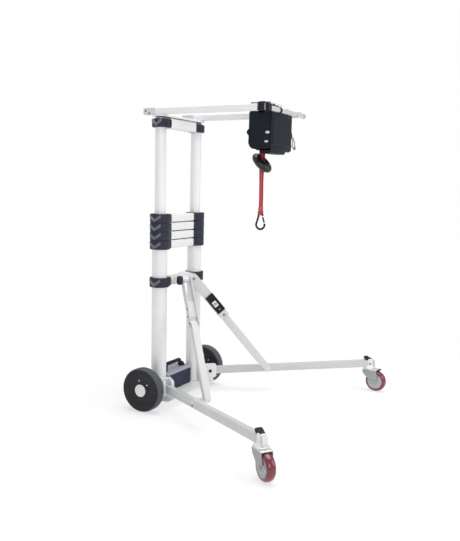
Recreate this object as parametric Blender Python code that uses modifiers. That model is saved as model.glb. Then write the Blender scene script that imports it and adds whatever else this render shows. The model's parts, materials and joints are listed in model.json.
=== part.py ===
"""Portable patient lift hoist on a telescopic ladder mast.

Metres, +Z up.  X points forward, from the mast to the casters, and Y runs across.
"near" pieces are at -Y and "far" pieces at +Y.  The floor is Z = 0.  Dimensions are
measured from the foot of the mast, and the last step centres the origin on the footprint.
"""
from math import asin, atan2, cos, degrees, hypot, pi, radians, sin, sqrt

import bmesh
import bpy
from mathutils import Matrix, Vector

SIDES = {"near": -1, "far": 1}
GAP = 0.0004                    # between bolted or resting pieces
FOOTPRINT_CENTRE = (0.3835, -0.0165)    # middle of the plan outline, from the mast's foot

# Mast: nested round tubes, each with a moulded collar and a rung at its top
POST_Y = 0.150
TUBE_RADII = (0.0350, 0.0325, 0.0300, 0.0275, 0.0250)
TUBE_WALL = 0.0020
POST_FOOT_Z = 0.0458
STACK_Z = 0.7340                # underside of the lowest stacked collar
STACK_PITCH = 0.0407
STAGE_TUBE_LENGTH = 0.300
TOP_COLLAR_Z = (1.2810, 1.3310)
TOP_TUBE_FOOT_Z = 0.640
CLAMP_Z = (0.560, 0.604)
COLLAR_RADIUS = 0.048
RUNG_HALF_DEPTH = 0.026
RUNG_HALF_LENGTH = 0.100

# Wheels and base
WHEEL_RADIUS = 0.100
WHEEL_WIDTH = 0.053
WHEEL_Y = 0.2705
AXLE_RADIUS = 0.008
TRAY_Z = (0.0400, 0.0455)
TRAY_X = (-0.085, 0.100)
TRAY_HALF_WIDTH = 0.212

# Front legs
LEG_PIVOT = (0.075, 0.190, 0.098)
CASTER_PLAN = (0.776, 0.628)
LEG_END_Z = 0.140
LEG_WIDTH = 0.025
LEG_HEIGHT = 0.035
LEG_WALL = 0.0025
BARREL_RADIUS = 0.0175
BARREL_HALF = 0.0195

# Casters
CASTER_RADIUS = 0.053
CASTER_WIDTH = 0.038
CASTER_TRAIL = 0.038
CASTER_TURN = {"near": -36.0, "far": -4.0}
SWIVEL_TOP_Z = 0.1185
CROWN_Z = (0.1095, 0.1135)

# Folding braces: hub pin, knee pin and the bolt beside the leg
HUB_PIN = (0.070, 0.032, 0.585)
BRACE_TURN = 43.0               # degrees from X, in plan
BRACE_END = (0.352, 0.125)      # X and Z of the bolt beside the leg
UPPER_LENGTH = 0.235
KNEE_BEND = 0.6                 # degrees, knee raised
UPPER_WIDTH = 0.040
UPPER_DEPTH = 0.040
UPPER_WALL = 0.003
LOWER_WIDTH = 0.030
LOWER_DEPTH = 0.032
LINK_END = 0.013                # link material past a pin
PIN_RADIUS = 0.004

# Lock on the far upper link
LOCK_START = 0.110
LOCK_END = 0.213
BUTTON_SIZE = (0.030, 0.021)
BUTTON_TRAVEL = 0.003

# Battery box
BATTERY_X = (-0.085, 0.020)
BATTERY_HALF_WIDTH = 0.103
BATTERY_Z = (0.0459, 0.135)
HANDLE_X = -0.020
HANDLE_HALF = 0.060
HANDLE_PIN_Z = 0.1435
HANDLE_RISE = 0.0300
HANDLE_RADIUS = 0.006

# Boom
BEAM_Y = 0.160
BEAM_X = (-0.078, 0.545)
BEAM_Z = (1.3408, 1.3678)
BEAM_WIDTH = 0.025
CROSS_TUBE_X = 0.528
CROSS_TUBE_RADIUS = 0.011
CROSS_TUBE_Y = (-0.174, 0.235)

# Winch, strap and hook
WINCH_X = (0.415, 0.525)
WINCH_HALF_WIDTH = 0.105
WINCH_Z = (1.190, 1.3415)
SLAB_X = (0.452, 0.522)
SLAB_Z = 1.167
PLATE_X = (0.405, 0.500)
PLATE_Z = (1.385, 1.389)
STRAP_X = 0.437
STRAP_WIDTH = 0.024
STRAP_THICKNESS = 0.002
STRAP_TOP_Z = 1.225
STRAP_FOOT_Z = 0.922
STOPPER_Z = 1.133
HOOK_TOP_Z = 0.918
HOOK_HALF_WIDTH = 0.021
HOOK_HEIGHT = 0.082
HOOK_WIRE = 0.0048


def collection(name):
    made = bpy.data.collections.new(name)
    bpy.context.scene.collection.children.link(made)
    return made


def material(name, colour, roughness, metallic=0.0):
    made = bpy.data.materials.new(name)
    made.use_nodes = True
    shader = made.node_tree.nodes["Principled BSDF"]
    shader.inputs["Base Color"].default_value = (*colour, 1.0)
    shader.inputs["Roughness"].default_value = roughness
    shader.inputs["Metallic"].default_value = metallic
    return made


def add(name, data, finish=None):
    """A new object: a part of the hoist with its finish, or a hidden cutter without one."""
    made = bpy.data.objects.new(name, data)
    if finish:
        data.materials.append(finish)
        PARTS.objects.link(made)
    else:
        made.hide_render = True
        made.display_type = "WIRE"
        CUTTERS.objects.link(made)
    return made


def empty(name, location, rotation=None, parent=None):
    made = bpy.data.objects.new(name, None)
    PARTS.objects.link(made)
    made.parent = parent
    made.matrix_basis = Matrix.Translation(location) @ (rotation or Matrix.Identity(4))
    return made


def place(thing, location=(0, 0, 0), rotation=None, parent=None):
    thing.parent = parent
    thing.matrix_basis = Matrix.Translation(location) @ (rotation or Matrix.Identity(4))
    return thing


def turn(angle, axis):
    return Matrix.Rotation(radians(angle), 4, axis)


def box(name, low, high, finish=None, bevel=0.0):
    """A box between two corners, with its origin left at the frame's zero."""
    mesh = bpy.data.meshes.new(name)
    builder = bmesh.new()
    size = [b - a for a, b in zip(low, high)]
    middle = [(a + b) / 2 for a, b in zip(low, high)]
    shape = Matrix.Translation(middle) @ Matrix.Diagonal((*size, 1.0))
    bmesh.ops.create_cube(builder, size=1.0, matrix=shape)
    builder.to_mesh(mesh)
    builder.free()
    made = add(name, mesh, finish)
    if bevel:
        edge = made.modifiers.new("Edge", "BEVEL")
        edge.width = bevel
        edge.segments = 1
        edge.limit_method = "ANGLE"
    return made


def rod(name, radius, start, end, finish=None, segments=20, axis="Z"):
    """A solid cylinder between two heights on one of the frame's axes."""
    mesh = bpy.data.meshes.new(name)
    builder = bmesh.new()
    lay = {"X": turn(90, "Y"), "Y": turn(-90, "X"), "Z": Matrix.Identity(4)}[axis]
    shape = lay @ Matrix.Translation((0, 0, (start + end) / 2))
    bmesh.ops.create_cone(builder, cap_ends=True, segments=segments, radius1=radius,
                          radius2=radius, depth=abs(end - start), matrix=shape)
    builder.to_mesh(mesh)
    builder.free()
    mesh.shade_smooth()
    mesh.set_sharp_from_angle(angle=radians(40))
    return add(name, mesh, finish)


def turned(name, profile, finish=None, segments=32, ring=True):
    """A turned shape: (radius, height) points from the top, out and down, round the Z axis."""
    mesh = bpy.data.meshes.new(name)
    count = len(profile)
    edges = [(i, i + 1) for i in range(count - 1)]
    if ring:
        edges.append((count - 1, 0))
    mesh.from_pydata([(radius, 0, height) for radius, height in profile], edges, [])
    made = add(name, mesh, finish)
    screw = made.modifiers.new("Turn", "SCREW")
    screw.axis = "Z"
    screw.angle = 2 * pi
    screw.steps = segments
    screw.render_steps = segments
    screw.use_merge_vertices = True
    screw.merge_threshold = 0.00001
    screw.use_smooth_shade = True
    return made


def outline(name, points, thickness, finish=None):
    """A flat outline in the frame's XZ plane, with its thickness shared about Y = 0."""
    curve = bpy.data.curves.new(name, "CURVE")
    curve.dimensions = "2D"
    curve.fill_mode = "BOTH"
    curve.extrude = thickness / 2
    spline = curve.splines.new("POLY")
    spline.points.add(len(points) - 1)
    for point, (across, height) in zip(spline.points, points):
        point.co = (across, height, 0, 1)
    spline.use_cyclic_u = True
    return mesh_from(name, curve, turn(90, "X"), finish)


def wire(name, points, radius, finish=None):
    """A round bar through the points, with flat ends."""
    curve = bpy.data.curves.new(name, "CURVE")
    curve.dimensions = "3D"
    curve.bevel_depth = radius
    curve.bevel_resolution = 2
    curve.use_fill_caps = True
    spline = curve.splines.new("POLY")
    spline.points.add(len(points) - 1)
    for point, position in zip(spline.points, points):
        point.co = (*position, 1)
    return mesh_from(name, curve, Matrix.Identity(4), finish)


def mesh_from(name, curve, matrix, finish):
    """The curve as a closed mesh, so that it can be cut and joined."""
    source = bpy.data.objects.new(name + "_curve", curve)
    bpy.context.scene.collection.objects.link(source)
    depsgraph = bpy.context.evaluated_depsgraph_get()
    mesh = bpy.data.meshes.new_from_object(source.evaluated_get(depsgraph))
    bpy.data.objects.remove(source)
    builder = bmesh.new()
    builder.from_mesh(mesh)
    bmesh.ops.transform(builder, matrix=matrix, verts=builder.verts)
    bmesh.ops.remove_doubles(builder, verts=builder.verts, dist=0.00001)
    bmesh.ops.recalc_face_normals(builder, faces=builder.faces)
    builder.to_mesh(mesh)
    builder.free()
    mesh.materials.clear()
    return add(name, mesh, finish)


def join(target, tool):
    union = target.modifiers.new(tool.name, "BOOLEAN")
    union.operation = "UNION"
    union.object = tool


def cut(target, tool):
    difference = target.modifiers.new(tool.name, "BOOLEAN")
    difference.operation = "DIFFERENCE"
    difference.object = tool


def round_end(centre, radius, start, end, count=9):
    """Points of an arc in the XZ plane, angles in degrees."""
    angles = [radians(start + (end - start) * i / (count - 1)) for i in range(count)]
    return [(centre[0] + radius * cos(a), centre[1] + radius * sin(a)) for a in angles]


# ---------------------------------------------------------------- mast


def stage_tube(name, stage, foot, head, place_y, parent=None):
    outer = TUBE_RADII[stage]
    inner = outer - TUBE_WALL
    segments = 28 if stage in (0, 4) else 20
    profile = [(inner, head), (outer, head), (outer, foot), (inner, foot)]
    tube = turned(name, profile, ALUMINIUM, segments)
    return place(tube, (0, place_y, 0), parent=parent)


def collar(name, stage, low, high, side, parent=None, lid=False):
    """A moulded collar with a ridge round its middle and a socket for the rung."""
    bore = TUBE_RADII[stage] + GAP
    middle = (low + high) / 2
    rim = COLLAR_RADIUS - 0.005
    outside = [(rim, high), (COLLAR_RADIUS, middle + 0.003), (COLLAR_RADIUS, middle - 0.003), (rim, low)]
    if lid:
        profile = [(0, high)] + outside + [(bore, low), (bore, high - 0.0045), (0, high - 0.0045)]
    else:
        profile = [(bore, high)] + outside + [(bore, low)]
    shell = turned(name, profile, COLLAR_PLASTIC, 24, ring=not lid)
    place(shell, (0, side * POST_Y, 0), parent=parent)
    ends = sorted((-side * (bore + 0.002), -side * (POST_Y - RUNG_HALF_LENGTH - GAP)))
    socket = box(name + "_socket", (-0.029, ends[0], low + 0.0012), (0.029, ends[1], high - 0.0012))
    place(socket, (0, side * POST_Y, 0), parent=parent)
    join(shell, socket)
    return shell


def rung(name, low, high, parent=None):
    half = RUNG_HALF_DEPTH
    bar = box(name, (-half, -RUNG_HALF_LENGTH, low), (half, RUNG_HALF_LENGTH, high), ALUMINIUM, 0.003)
    return place(bar, parent=parent)


def stack_level(index):
    """The underside and top of a stacked collar, counted from the lowest."""
    low = STACK_Z + index * STACK_PITCH
    return low, low + STACK_PITCH - GAP


def fixed_mast():
    low, high = stack_level(0)
    for label, side in SIDES.items():
        post = stage_tube(f"lower_post_{label}", 0, POST_FOOT_Z, high - 0.003, side * POST_Y)
        hole = rod(f"axle_hole_{label}", AXLE_RADIUS + GAP, 0, side * 0.06, axis="Y")
        cut(post, place(hole, (0, side * POST_Y, WHEEL_RADIUS)))
        collar(f"fixed_collar_{label}", 0, low, high, side)
        collar(f"clamp_collar_{label}", 0, *CLAMP_Z, side)
    rung("fixed_rung", low + 0.002, high - 0.002)
    rung("clamp_rung", CLAMP_Z[0] + 0.003, CLAMP_Z[1] - 0.003)


def sliding_stage(index, parent):
    """Two nested tubes with their collars and the rung that joins them."""
    low, high = stack_level(index)
    frame = empty(f"stage_{index + 1}", (0, 0, 0), parent=parent)
    for label, side in SIDES.items():
        head = high - 0.003
        stage_tube(f"stage_{index + 1}_tube_{label}", index, head - STAGE_TUBE_LENGTH, head,
                   side * POST_Y, frame)
        collar(f"stage_{index + 1}_collar_{label}", index, low, high, side, frame)
    rung(f"stage_{index + 1}_rung", low + 0.002, high - 0.002, frame)
    return frame


def top_stage(parent):
    low, high = TOP_COLLAR_Z
    frame = empty("top_stage", (0, 0, 0), parent=parent)
    for label, side in SIDES.items():
        stage_tube(f"top_tube_{label}", 4, TOP_TUBE_FOOT_Z, high - 0.005, side * POST_Y, frame)
        collar(f"top_collar_{label}", 4, low, high, side, frame, lid=True)
    rung("top_rung", low + 0.002, high - 0.002, frame)
    return frame


# ---------------------------------------------------------------- base and rear wheels


def base_tray():
    box("base_tray", (TRAY_X[0], -TRAY_HALF_WIDTH, TRAY_Z[0]), (TRAY_X[1], TRAY_HALF_WIDTH, TRAY_Z[1]),
        WHITE_STEEL, 0.001)


def rear_wheel(label, side):
    """A solid tyre on a dished disc, bored for the axle."""
    half = WHEEL_WIDTH / 2
    tyre = WHEEL_RADIUS
    bore = AXLE_RADIUS + GAP
    face = [(bore, half - 0.004), (0.030, half - 0.004), (0.032, half - 0.012), (0.058, half - 0.012),
            (0.064, half - 0.002), (0.088, half), (0.097, half - 0.005), (tyre, half - 0.013)]
    profile = face + [(radius, -height) for radius, height in reversed(face)]
    wheel = turned(f"rear_wheel_{label}", profile, TYRE_RUBBER, 28)
    frame = empty(f"rear_wheel_axis_{label}", (0, side * WHEEL_Y, WHEEL_RADIUS), turn(-90 * side, "X"))
    place(wheel, parent=frame)

    cap = half - 0.004 + GAP
    inner = WHEEL_Y - POST_Y + 0.020
    axle_profile = [(0, cap + 0.007), (0.020, cap + 0.007), (0.028, cap + 0.003), (0.028, cap),
                    (AXLE_RADIUS, cap), (AXLE_RADIUS, -inner), (0, -inner)]
    axle = turned(f"wheel_axle_{label}", axle_profile, WHITE_STEEL, 20, ring=False)
    place(axle, (0, side * WHEEL_Y, WHEEL_RADIUS), turn(-90 * side, "X"))


# ---------------------------------------------------------------- front legs and casters


def leg_direction():
    run = Vector((CASTER_PLAN[0] - LEG_PIVOT[0], CASTER_PLAN[1] - LEG_PIVOT[1]))
    plan = degrees(atan2(run.y, run.x))
    tilt = degrees(atan2(LEG_END_Z - LEG_PIVOT[2], run.length))
    return plan, tilt, hypot(run.length, LEG_END_Z - LEG_PIVOT[2])


def leg_bracket(label, side):
    """Two cheeks and a back web that stand on the tray and hold the leg's pivot pin."""
    pivot = (LEG_PIVOT[0], side * LEG_PIVOT[1], 0)
    heading = turn(side * BRACE_TURN, "Z")
    inner = BARREL_HALF + 0.0006
    outer = inner + 0.003
    foot = TRAY_Z[1] + GAP
    height = LEG_PIVOT[2]
    name = f"leg_bracket_{label}"
    shape = [(-0.032, foot), (0.017, foot)] + round_end((0, height), 0.017, 0, 90)
    shape += [(-0.032, height + 0.034)]
    block = outline(name, shape, 2 * outer, WHITE_STEEL)
    place(block, pivot, heading)
    gap = box(name + "_gap", (-0.0285, -inner, foot - 0.01), (0.06, inner, height + 0.06))
    cut(block, place(gap, pivot, heading))
    pin = rod(name + "_pin", 0.0056, -outer - 0.004, outer + 0.004, axis="Y")
    join(block, place(pin, (*pivot[:2], height), heading))
    for end in (-1, 1):
        head = rod(f"{name}_head_{end + 1}", 0.010, end * (outer - 0.001), end * (outer + 0.004),
                   axis="Y")
        join(block, place(head, (*pivot[:2], height), heading))


def leg(label, side):
    """A rectangular tube with a hinge barrel at the mast and a caster socket at its tip."""
    plan, tilt, length = leg_direction()
    pivot = (LEG_PIVOT[0], side * LEG_PIVOT[1], LEG_PIVOT[2])
    frame = empty(f"leg_fold_{label}", pivot)
    heading = turn(side * plan, "Z") @ turn(-tilt, "Y")
    wide = LEG_WIDTH / 2
    high = LEG_HEIGHT / 2
    tip = length + 0.024
    name = f"leg_{label}"
    tube = box(name, (0, -wide, -high), (tip, wide, high), WHITE_PAINT)
    place(tube, (0, 0, 0), heading, frame)
    void = box(name + "_void", (0.030, -wide + LEG_WALL, -high + LEG_WALL),
               (tip + 0.01, wide - LEG_WALL, high - LEG_WALL))
    cut(tube, place(void, (0, 0, 0), heading, frame))
    drain = rod(name + "_drain", 0.004, -0.03, 0, segments=12)
    cut(tube, place(drain, heading @ Vector((0.060, 0, 0)), parent=frame))
    hinge = turn(side * BRACE_TURN, "Z")
    barrel = rod(name + "_barrel", BARREL_RADIUS, -BARREL_HALF, BARREL_HALF, axis="Y", segments=24)
    join(tube, place(barrel, (0, 0, 0), hinge, frame))
    bore = rod(name + "_bore", 0.0060, -0.05, 0.05, axis="Y", segments=12)
    cut(tube, place(bore, (0, 0, 0), hinge, frame))

    socket_place = (CASTER_PLAN[0] - pivot[0], side * (CASTER_PLAN[1] - LEG_PIVOT[1]), -pivot[2])
    socket = rod(name + "_socket", 0.0165, SWIVEL_TOP_Z + GAP, 0.1600)
    join(tube, place(socket, socket_place, parent=frame))
    kingpin_hole = rod(name + "_kingpin_hole", 0.0064, 0.10, 0.152, segments=12)
    cut(tube, place(kingpin_hole, socket_place, parent=frame))

    rest = brace_geometry()
    boss = rod(name + "_boss", 0.009, side * (LOWER_WIDTH / 2 + 0.0006), side * rest["leg_gap"], axis="Y")
    boss_place = (BRACE_END[0] - pivot[0], side * rest["bolt_y"] - pivot[1], BRACE_END[1] - pivot[2])
    join(tube, place(boss, boss_place, hinge, frame))
    return frame


def caster(label, side, leg_frame):
    """A swivel fork with its kingpin and axle in one piece, and a trailing wheel."""
    pivot = (CASTER_PLAN[0] - LEG_PIVOT[0], side * (CASTER_PLAN[1] - LEG_PIVOT[1]), -LEG_PIVOT[2])
    swivel = empty(f"caster_swivel_{label}", pivot, turn(CASTER_TURN[label], "Z"), leg_frame)
    name = f"caster_fork_{label}"
    disc = [(0, 0.150), (0.006, 0.150), (0.006, SWIVEL_TOP_Z), (0.028, SWIVEL_TOP_Z),
            (0.0301, CROWN_Z[1] + 0.001), (0.0301, CROWN_Z[0] + 0.001), (0, CROWN_Z[0] + 0.001)]
    fork = turned(name, disc, ZINC, 20, ring=False)
    place(fork, parent=swivel)
    plate_in = CASTER_WIDTH / 2 + 0.0025
    plate_out = plate_in + 0.0025
    crown = box(name + "_crown", (-0.024, -plate_out, CROWN_Z[0]), (0.046, plate_out, CROWN_Z[1]))
    join(fork, place(crown, parent=swivel))
    cheek = [(-0.022, CROWN_Z[0] + 0.002)] + round_end((CASTER_TRAIL, CASTER_RADIUS), 0.011, 205, 335)
    cheek += [(0.046, CROWN_Z[0] + 0.002)]
    for end in (-1, 1):
        plate = outline(f"{name}_plate_{end + 1}", cheek, plate_out - plate_in)
        join(fork, place(plate, (0, end * (plate_in + plate_out) / 2, 0), parent=swivel))
    pin = rod(name + "_axle", 0.004, -plate_out - 0.004, plate_out + 0.004, axis="Y", segments=12)
    join(fork, place(pin, (CASTER_TRAIL, 0, CASTER_RADIUS), parent=swivel))

    half = CASTER_WIDTH / 2
    face = [(0.0044, half), (0.013, half), (0.013, half - 0.004), (0.034, half - 0.004),
            (0.036, half - 0.001), (0.046, half - 0.002), (CASTER_RADIUS, half - 0.010)]
    profile = face + [(radius, -height) for radius, height in reversed(face)]
    axis = empty(f"caster_axis_{label}", (CASTER_TRAIL, 0, CASTER_RADIUS), turn(-90, "X"), swivel)
    wheel = turned(f"caster_wheel_{label}", profile, CASTER_TYRE, 24)
    place(wheel, parent=axis)


# ---------------------------------------------------------------- folding braces


def brace_geometry():
    """Where the two links lie in their upright plane, and where their last bolt meets the leg."""
    heading = radians(BRACE_TURN)
    reach = (BRACE_END[0] - HUB_PIN[0]) / cos(heading)
    drop = HUB_PIN[2] - BRACE_END[1]
    span = hypot(reach, drop)
    bend = radians(KNEE_BEND)
    lower = -UPPER_LENGTH * cos(bend) + sqrt(span ** 2 - (UPPER_LENGTH * sin(bend)) ** 2)
    pitch = -atan2(drop, reach) + asin(lower * sin(bend) / span)
    bolt_y = HUB_PIN[1] + reach * sin(heading)
    plan, _, _ = leg_direction()
    leg_turn = radians(plan)
    inside = (BRACE_END[0] - LEG_PIVOT[0]) * sin(leg_turn) - (bolt_y - LEG_PIVOT[1]) * cos(leg_turn)
    return {
        "lower": lower,
        "pitch": degrees(pitch),
        "bolt_y": bolt_y,
        "leg_gap": inside / cos(heading - leg_turn),
    }


def brace_hub():
    """An arched plate on the front of the clamp rung, with two tongues for the braces."""
    front = RUNG_HALF_DEPTH + GAP
    arch = [(-0.095, 0.572), (0.095, 0.572), (0.095, 0.584)] + round_end((0, 0.445), 0.173, 57, 123, 11)
    arch += [(-0.095, 0.584)]
    hub = outline("brace_hub", arch, 0.006, WHITE_STEEL)
    place(hub, (front + 0.003, 0, 0), turn(90, "Z"))
    half = UPPER_WIDTH / 2 - UPPER_WALL - 0.0006
    for label, side in SIDES.items():
        shape = round_end((0, 0), 0.0145, -90, 90) + [(-0.052, 0.0145), (-0.052, -0.0145)]
        tongue = outline(f"hub_tongue_{label}", shape, 2 * half + side * 0.0002)
        pin_place = (HUB_PIN[0], side * HUB_PIN[1], HUB_PIN[2])
        heading = turn(side * BRACE_TURN, "Z")
        join(hub, place(tongue, pin_place, heading))
    trim = box("hub_trim", (-0.05, -0.1, 0.5), (front, 0.1, 0.65))
    cut(hub, trim)
    for label, side in SIDES.items():
        bore = rod(f"hub_bore_{label}", PIN_RADIUS + GAP, -0.03, 0.03, axis="Y", segments=12)
        pin_place = (HUB_PIN[0], side * HUB_PIN[1], HUB_PIN[2])
        cut(hub, place(bore, pin_place, turn(side * BRACE_TURN, "Z")))


def link_pin(name, target, x, half, frame):
    """A pin across a link, with a low head on each side."""
    pin = rod(name + "_pin", PIN_RADIUS, -half - 0.0035, half + 0.0035, axis="Y", segments=12)
    join(target, place(pin, (x, 0, 0), parent=frame))
    for end in (-1, 1):
        head = rod(f"{name}_head_{end + 1}", 0.0075, end * (half - 0.001), end * (half + 0.0028),
                   axis="Y", segments=12)
        join(target, place(head, (x, 0, 0), parent=frame))


def upper_link(label, frame):
    """A channel, open below, with its web cut back at both pins."""
    half = UPPER_WIDTH / 2
    deep = UPPER_DEPTH / 2
    name = f"brace_upper_{label}"
    link = box(name, (-LINK_END, -half, -deep), (UPPER_LENGTH + LINK_END, half, deep), WHITE_PAINT)
    place(link, parent=frame)
    inside = box(name + "_inside", (-0.05, -half + UPPER_WALL, -0.05),
                 (UPPER_LENGTH + 0.05, half - UPPER_WALL, deep - UPPER_WALL))
    cut(link, place(inside, parent=frame))
    notches = {"hub": (-0.05, 0.022), "knee": (UPPER_LENGTH - 0.024, UPPER_LENGTH + 0.05)}
    for end, (low, high) in notches.items():
        notch = box(f"{name}_notch_{end}", (low, -half + UPPER_WALL, -0.05),
                    (high, half - UPPER_WALL, 0.05))
        cut(link, place(notch, parent=frame))
    link_pin(name + "_hub", link, 0, half, frame)
    link_pin(name + "_knee", link, UPPER_LENGTH, half, frame)
    return link


def lower_link(label, frame, length):
    half = LOWER_WIDTH / 2
    deep = LOWER_DEPTH / 2
    name = f"brace_lower_{label}"
    shape = round_end((0, 0), deep, 90, 270) + round_end((length, 0), deep, -90, 90)
    link = outline(name, shape, LOWER_WIDTH, WHITE_PAINT)
    place(link, parent=frame)
    bore = rod(name + "_bore", PIN_RADIUS + GAP, -0.03, 0.03, axis="Y", segments=12)
    cut(link, place(bore, parent=frame))
    inward = -SIDES[label]
    head = rod(name + "_bolt", 0.0085, inward * (half - 0.001), inward * (half + 0.005),
               axis="Y", segments=12)
    join(link, place(head, (length, 0, 0), parent=frame))
    return link


def lock(frame):
    """The release on the far upper link: an open-bottomed cover with a press button."""
    half = UPPER_WIDTH / 2
    deep = UPPER_DEPTH / 2
    low = -(half + 0.0065)
    cover = box("lock_housing", (LOCK_START, low, -deep), (LOCK_END, half + 0.003, deep + 0.004),
                LOCK_BLACK, 0.002)
    place(cover, parent=frame)
    channel = box("lock_channel", (LOCK_START - 0.05, -half - GAP, -0.05),
                  (LOCK_END + 0.05, half + GAP, deep + GAP))
    cut(cover, place(channel, parent=frame))
    middle = (LOCK_START + LOCK_END) / 2
    long, tall = (size / 2 for size in BUTTON_SIZE)
    well = box("button_well", (middle - long - GAP, -0.05, -tall - GAP),
               (middle + long + GAP, -half + 0.005, tall + GAP))
    cut(cover, place(well, parent=frame))
    seat = -(half + GAP + BUTTON_TRAVEL + 0.0004)
    slide = empty("lock_button_slide", (middle, seat, 0), parent=frame)
    button = box("lock_button", (-long, -0.0055, -tall), (long, 0, tall), BUTTON_WHITE, 0.001)
    place(button, parent=slide)


def brace(label, side):
    rest = brace_geometry()
    heading = turn(side * BRACE_TURN, "Z") @ turn(-rest["pitch"], "Y")
    upper = empty(f"brace_fold_{label}", (HUB_PIN[0], side * HUB_PIN[1], HUB_PIN[2]), heading)
    knee = empty(f"brace_knee_{label}", (UPPER_LENGTH, 0, 0), turn(KNEE_BEND, "Y"), upper)
    upper_link(label, upper)
    lower_link(label, knee, rest["lower"])
    if label == "far":
        lock(upper)


# ---------------------------------------------------------------- battery


def battery():
    low = (BATTERY_X[0], -BATTERY_HALF_WIDTH, BATTERY_Z[0])
    high = (BATTERY_X[1], BATTERY_HALF_WIDTH, BATTERY_Z[1])
    case = box("battery_box", low, high, NAVY_PLASTIC, 0.004)
    lid = box("battery_lid", (low[0] - 0.002, low[1] - 0.002, high[2] - 0.010),
              (high[0] + 0.002, high[1] + 0.002, high[2] + 0.001))
    join(case, lid)
    for end in (-1, 1):
        inner = end * (HANDLE_HALF - HANDLE_RADIUS - 0.0005)
        ends = sorted((inner, inner - end * 0.006))
        lug = box(f"handle_lug_{end + 1}", (HANDLE_X - 0.006, ends[0], high[2] - 0.002),
                  (HANDLE_X + 0.006, ends[1], HANDLE_PIN_Z + 0.006))
        join(case, lug)
    frame = empty("battery_handle_hinge", (HANDLE_X, 0, HANDLE_PIN_Z))
    half = HANDLE_HALF
    corner = 0.010
    path = [(0, -half, 0), (0, -half, HANDLE_RISE - corner)]
    for step in range(1, 4):
        angle = radians(30 * step)
        path.append((0, -half + corner * (1 - cos(angle)), HANDLE_RISE - corner * (1 - sin(angle))))
    path += [(0, -y, z) for _, y, z in reversed(path)]
    place(wire("battery_handle", path, HANDLE_RADIUS, HANDLE_BLACK), parent=frame)


# ---------------------------------------------------------------- boom and winch


def boom(parent):
    low, high = BEAM_Z
    half = BEAM_WIDTH / 2
    middle = (low + high) / 2
    for label, side in SIDES.items():
        name = f"boom_beam_{label}"
        y = side * BEAM_Y
        beam = box(name, (BEAM_X[0], y - half, low), (BEAM_X[1], y + half, high), WHITE_PAINT, 0.0015)
        place(beam, parent=parent)
        void = box(name + "_void", (BEAM_X[0] - 0.01, y - half + 0.0025, low + 0.0025),
                   (BEAM_X[1] + 0.01, y + half - 0.0025, high - 0.0025))
        cut(beam, place(void, parent=parent))
        hole = rod(name + "_hole", CROSS_TUBE_RADIUS + GAP, y - 0.03, y + 0.03, axis="Y")
        cut(beam, place(hole, (CROSS_TUBE_X, 0, middle), parent=parent))
    saddle = box("boom_saddle", (-0.032, -0.172, TOP_COLLAR_Z[1] + GAP), (0.032, 0.172, low - GAP),
                 WHITE_STEEL, 0.001)
    place(saddle, parent=parent)
    radius = CROSS_TUBE_RADIUS
    start, end = CROSS_TUBE_Y
    profile = [(radius - 0.002, end), (radius, end), (radius, start), (radius - 0.002, start)]
    tube = turned("cross_tube", profile, STEEL, 24)
    place(tube, (CROSS_TUBE_X, 0, middle), turn(-90, "X"), parent)


def hanger(parent):
    """The bracket that hangs the winch from the cross tube, with a thin plate on top."""
    foot = WINCH_Z[1] + GAP
    head = PLATE_Z[0] + 0.001
    middle = sum(BEAM_Z) / 2
    shape = [(0.462, foot), (0.5417, foot)] + round_end((CROSS_TUBE_X, middle), 0.018, -40, 90, 7)
    shape += [(0.504, 1.376), (0.500, head), (0.470, head)]
    block = outline("winch_hanger", shape, 0.048, DARK_STEEL)
    place(block, parent=parent)
    plate = box("hanger_plate", (PLATE_X[0], -0.060, PLATE_Z[0]), (PLATE_X[1], 0.060, PLATE_Z[1]))
    join(block, place(plate, parent=parent))
    bore = rod("hanger_bore", CROSS_TUBE_RADIUS + GAP, -0.08, 0.08, axis="Y")
    cut(block, place(bore, (CROSS_TUBE_X, 0, middle), parent=parent))


def winch(parent):
    """The winch body with its gear slab below, slotted for the strap."""
    half = WINCH_HALF_WIDTH
    low, high = WINCH_Z
    back, front = WINCH_X
    shape = [(back, high), (back, low + 0.028)] + round_end((back + 0.028, low + 0.028), 0.028, 180, 270, 7)
    shape += [(front, low), (front, high)]
    case = outline("winch_housing", shape, 2 * half, NAVY_BLACK)
    place(case, parent=parent)
    slab = box("gear_slab", (SLAB_X[0], -half + 0.002, SLAB_Z), (SLAB_X[1], half - 0.030, low + 0.002))
    join(case, place(slab, parent=parent))
    slot = box("strap_slot", (STRAP_X - STRAP_WIDTH / 2 - 0.002, -0.006, low - 0.02),
               (STRAP_X + STRAP_WIDTH / 2 + 0.002, 0.006, STRAP_TOP_Z + 0.004))
    cut(case, place(slot, parent=parent))

    tilt = turn(45, "Y") @ Matrix.Diagonal((1.0, 0.85, 1.0, 1.0))
    edge = 0.055
    side = [(0, 0.009), (edge - 0.012, 0.0075), (edge, 0.002)]
    profile = side + [(radius, -height) for radius, height in reversed(side)]
    stopper = turned("strap_stopper", profile, HANDLE_BLACK, 24, ring=False)
    place(stopper, (STRAP_X, 0, STOPPER_Z), tilt, parent)
    passage = box("stopper_slot", (-STRAP_WIDTH / 2 - 0.003, -0.005, -0.05),
                  (STRAP_WIDTH / 2 + 0.003, 0.005, 0.05))
    cut(stopper, place(passage, (STRAP_X, 0, STOPPER_Z), parent=parent))


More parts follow.
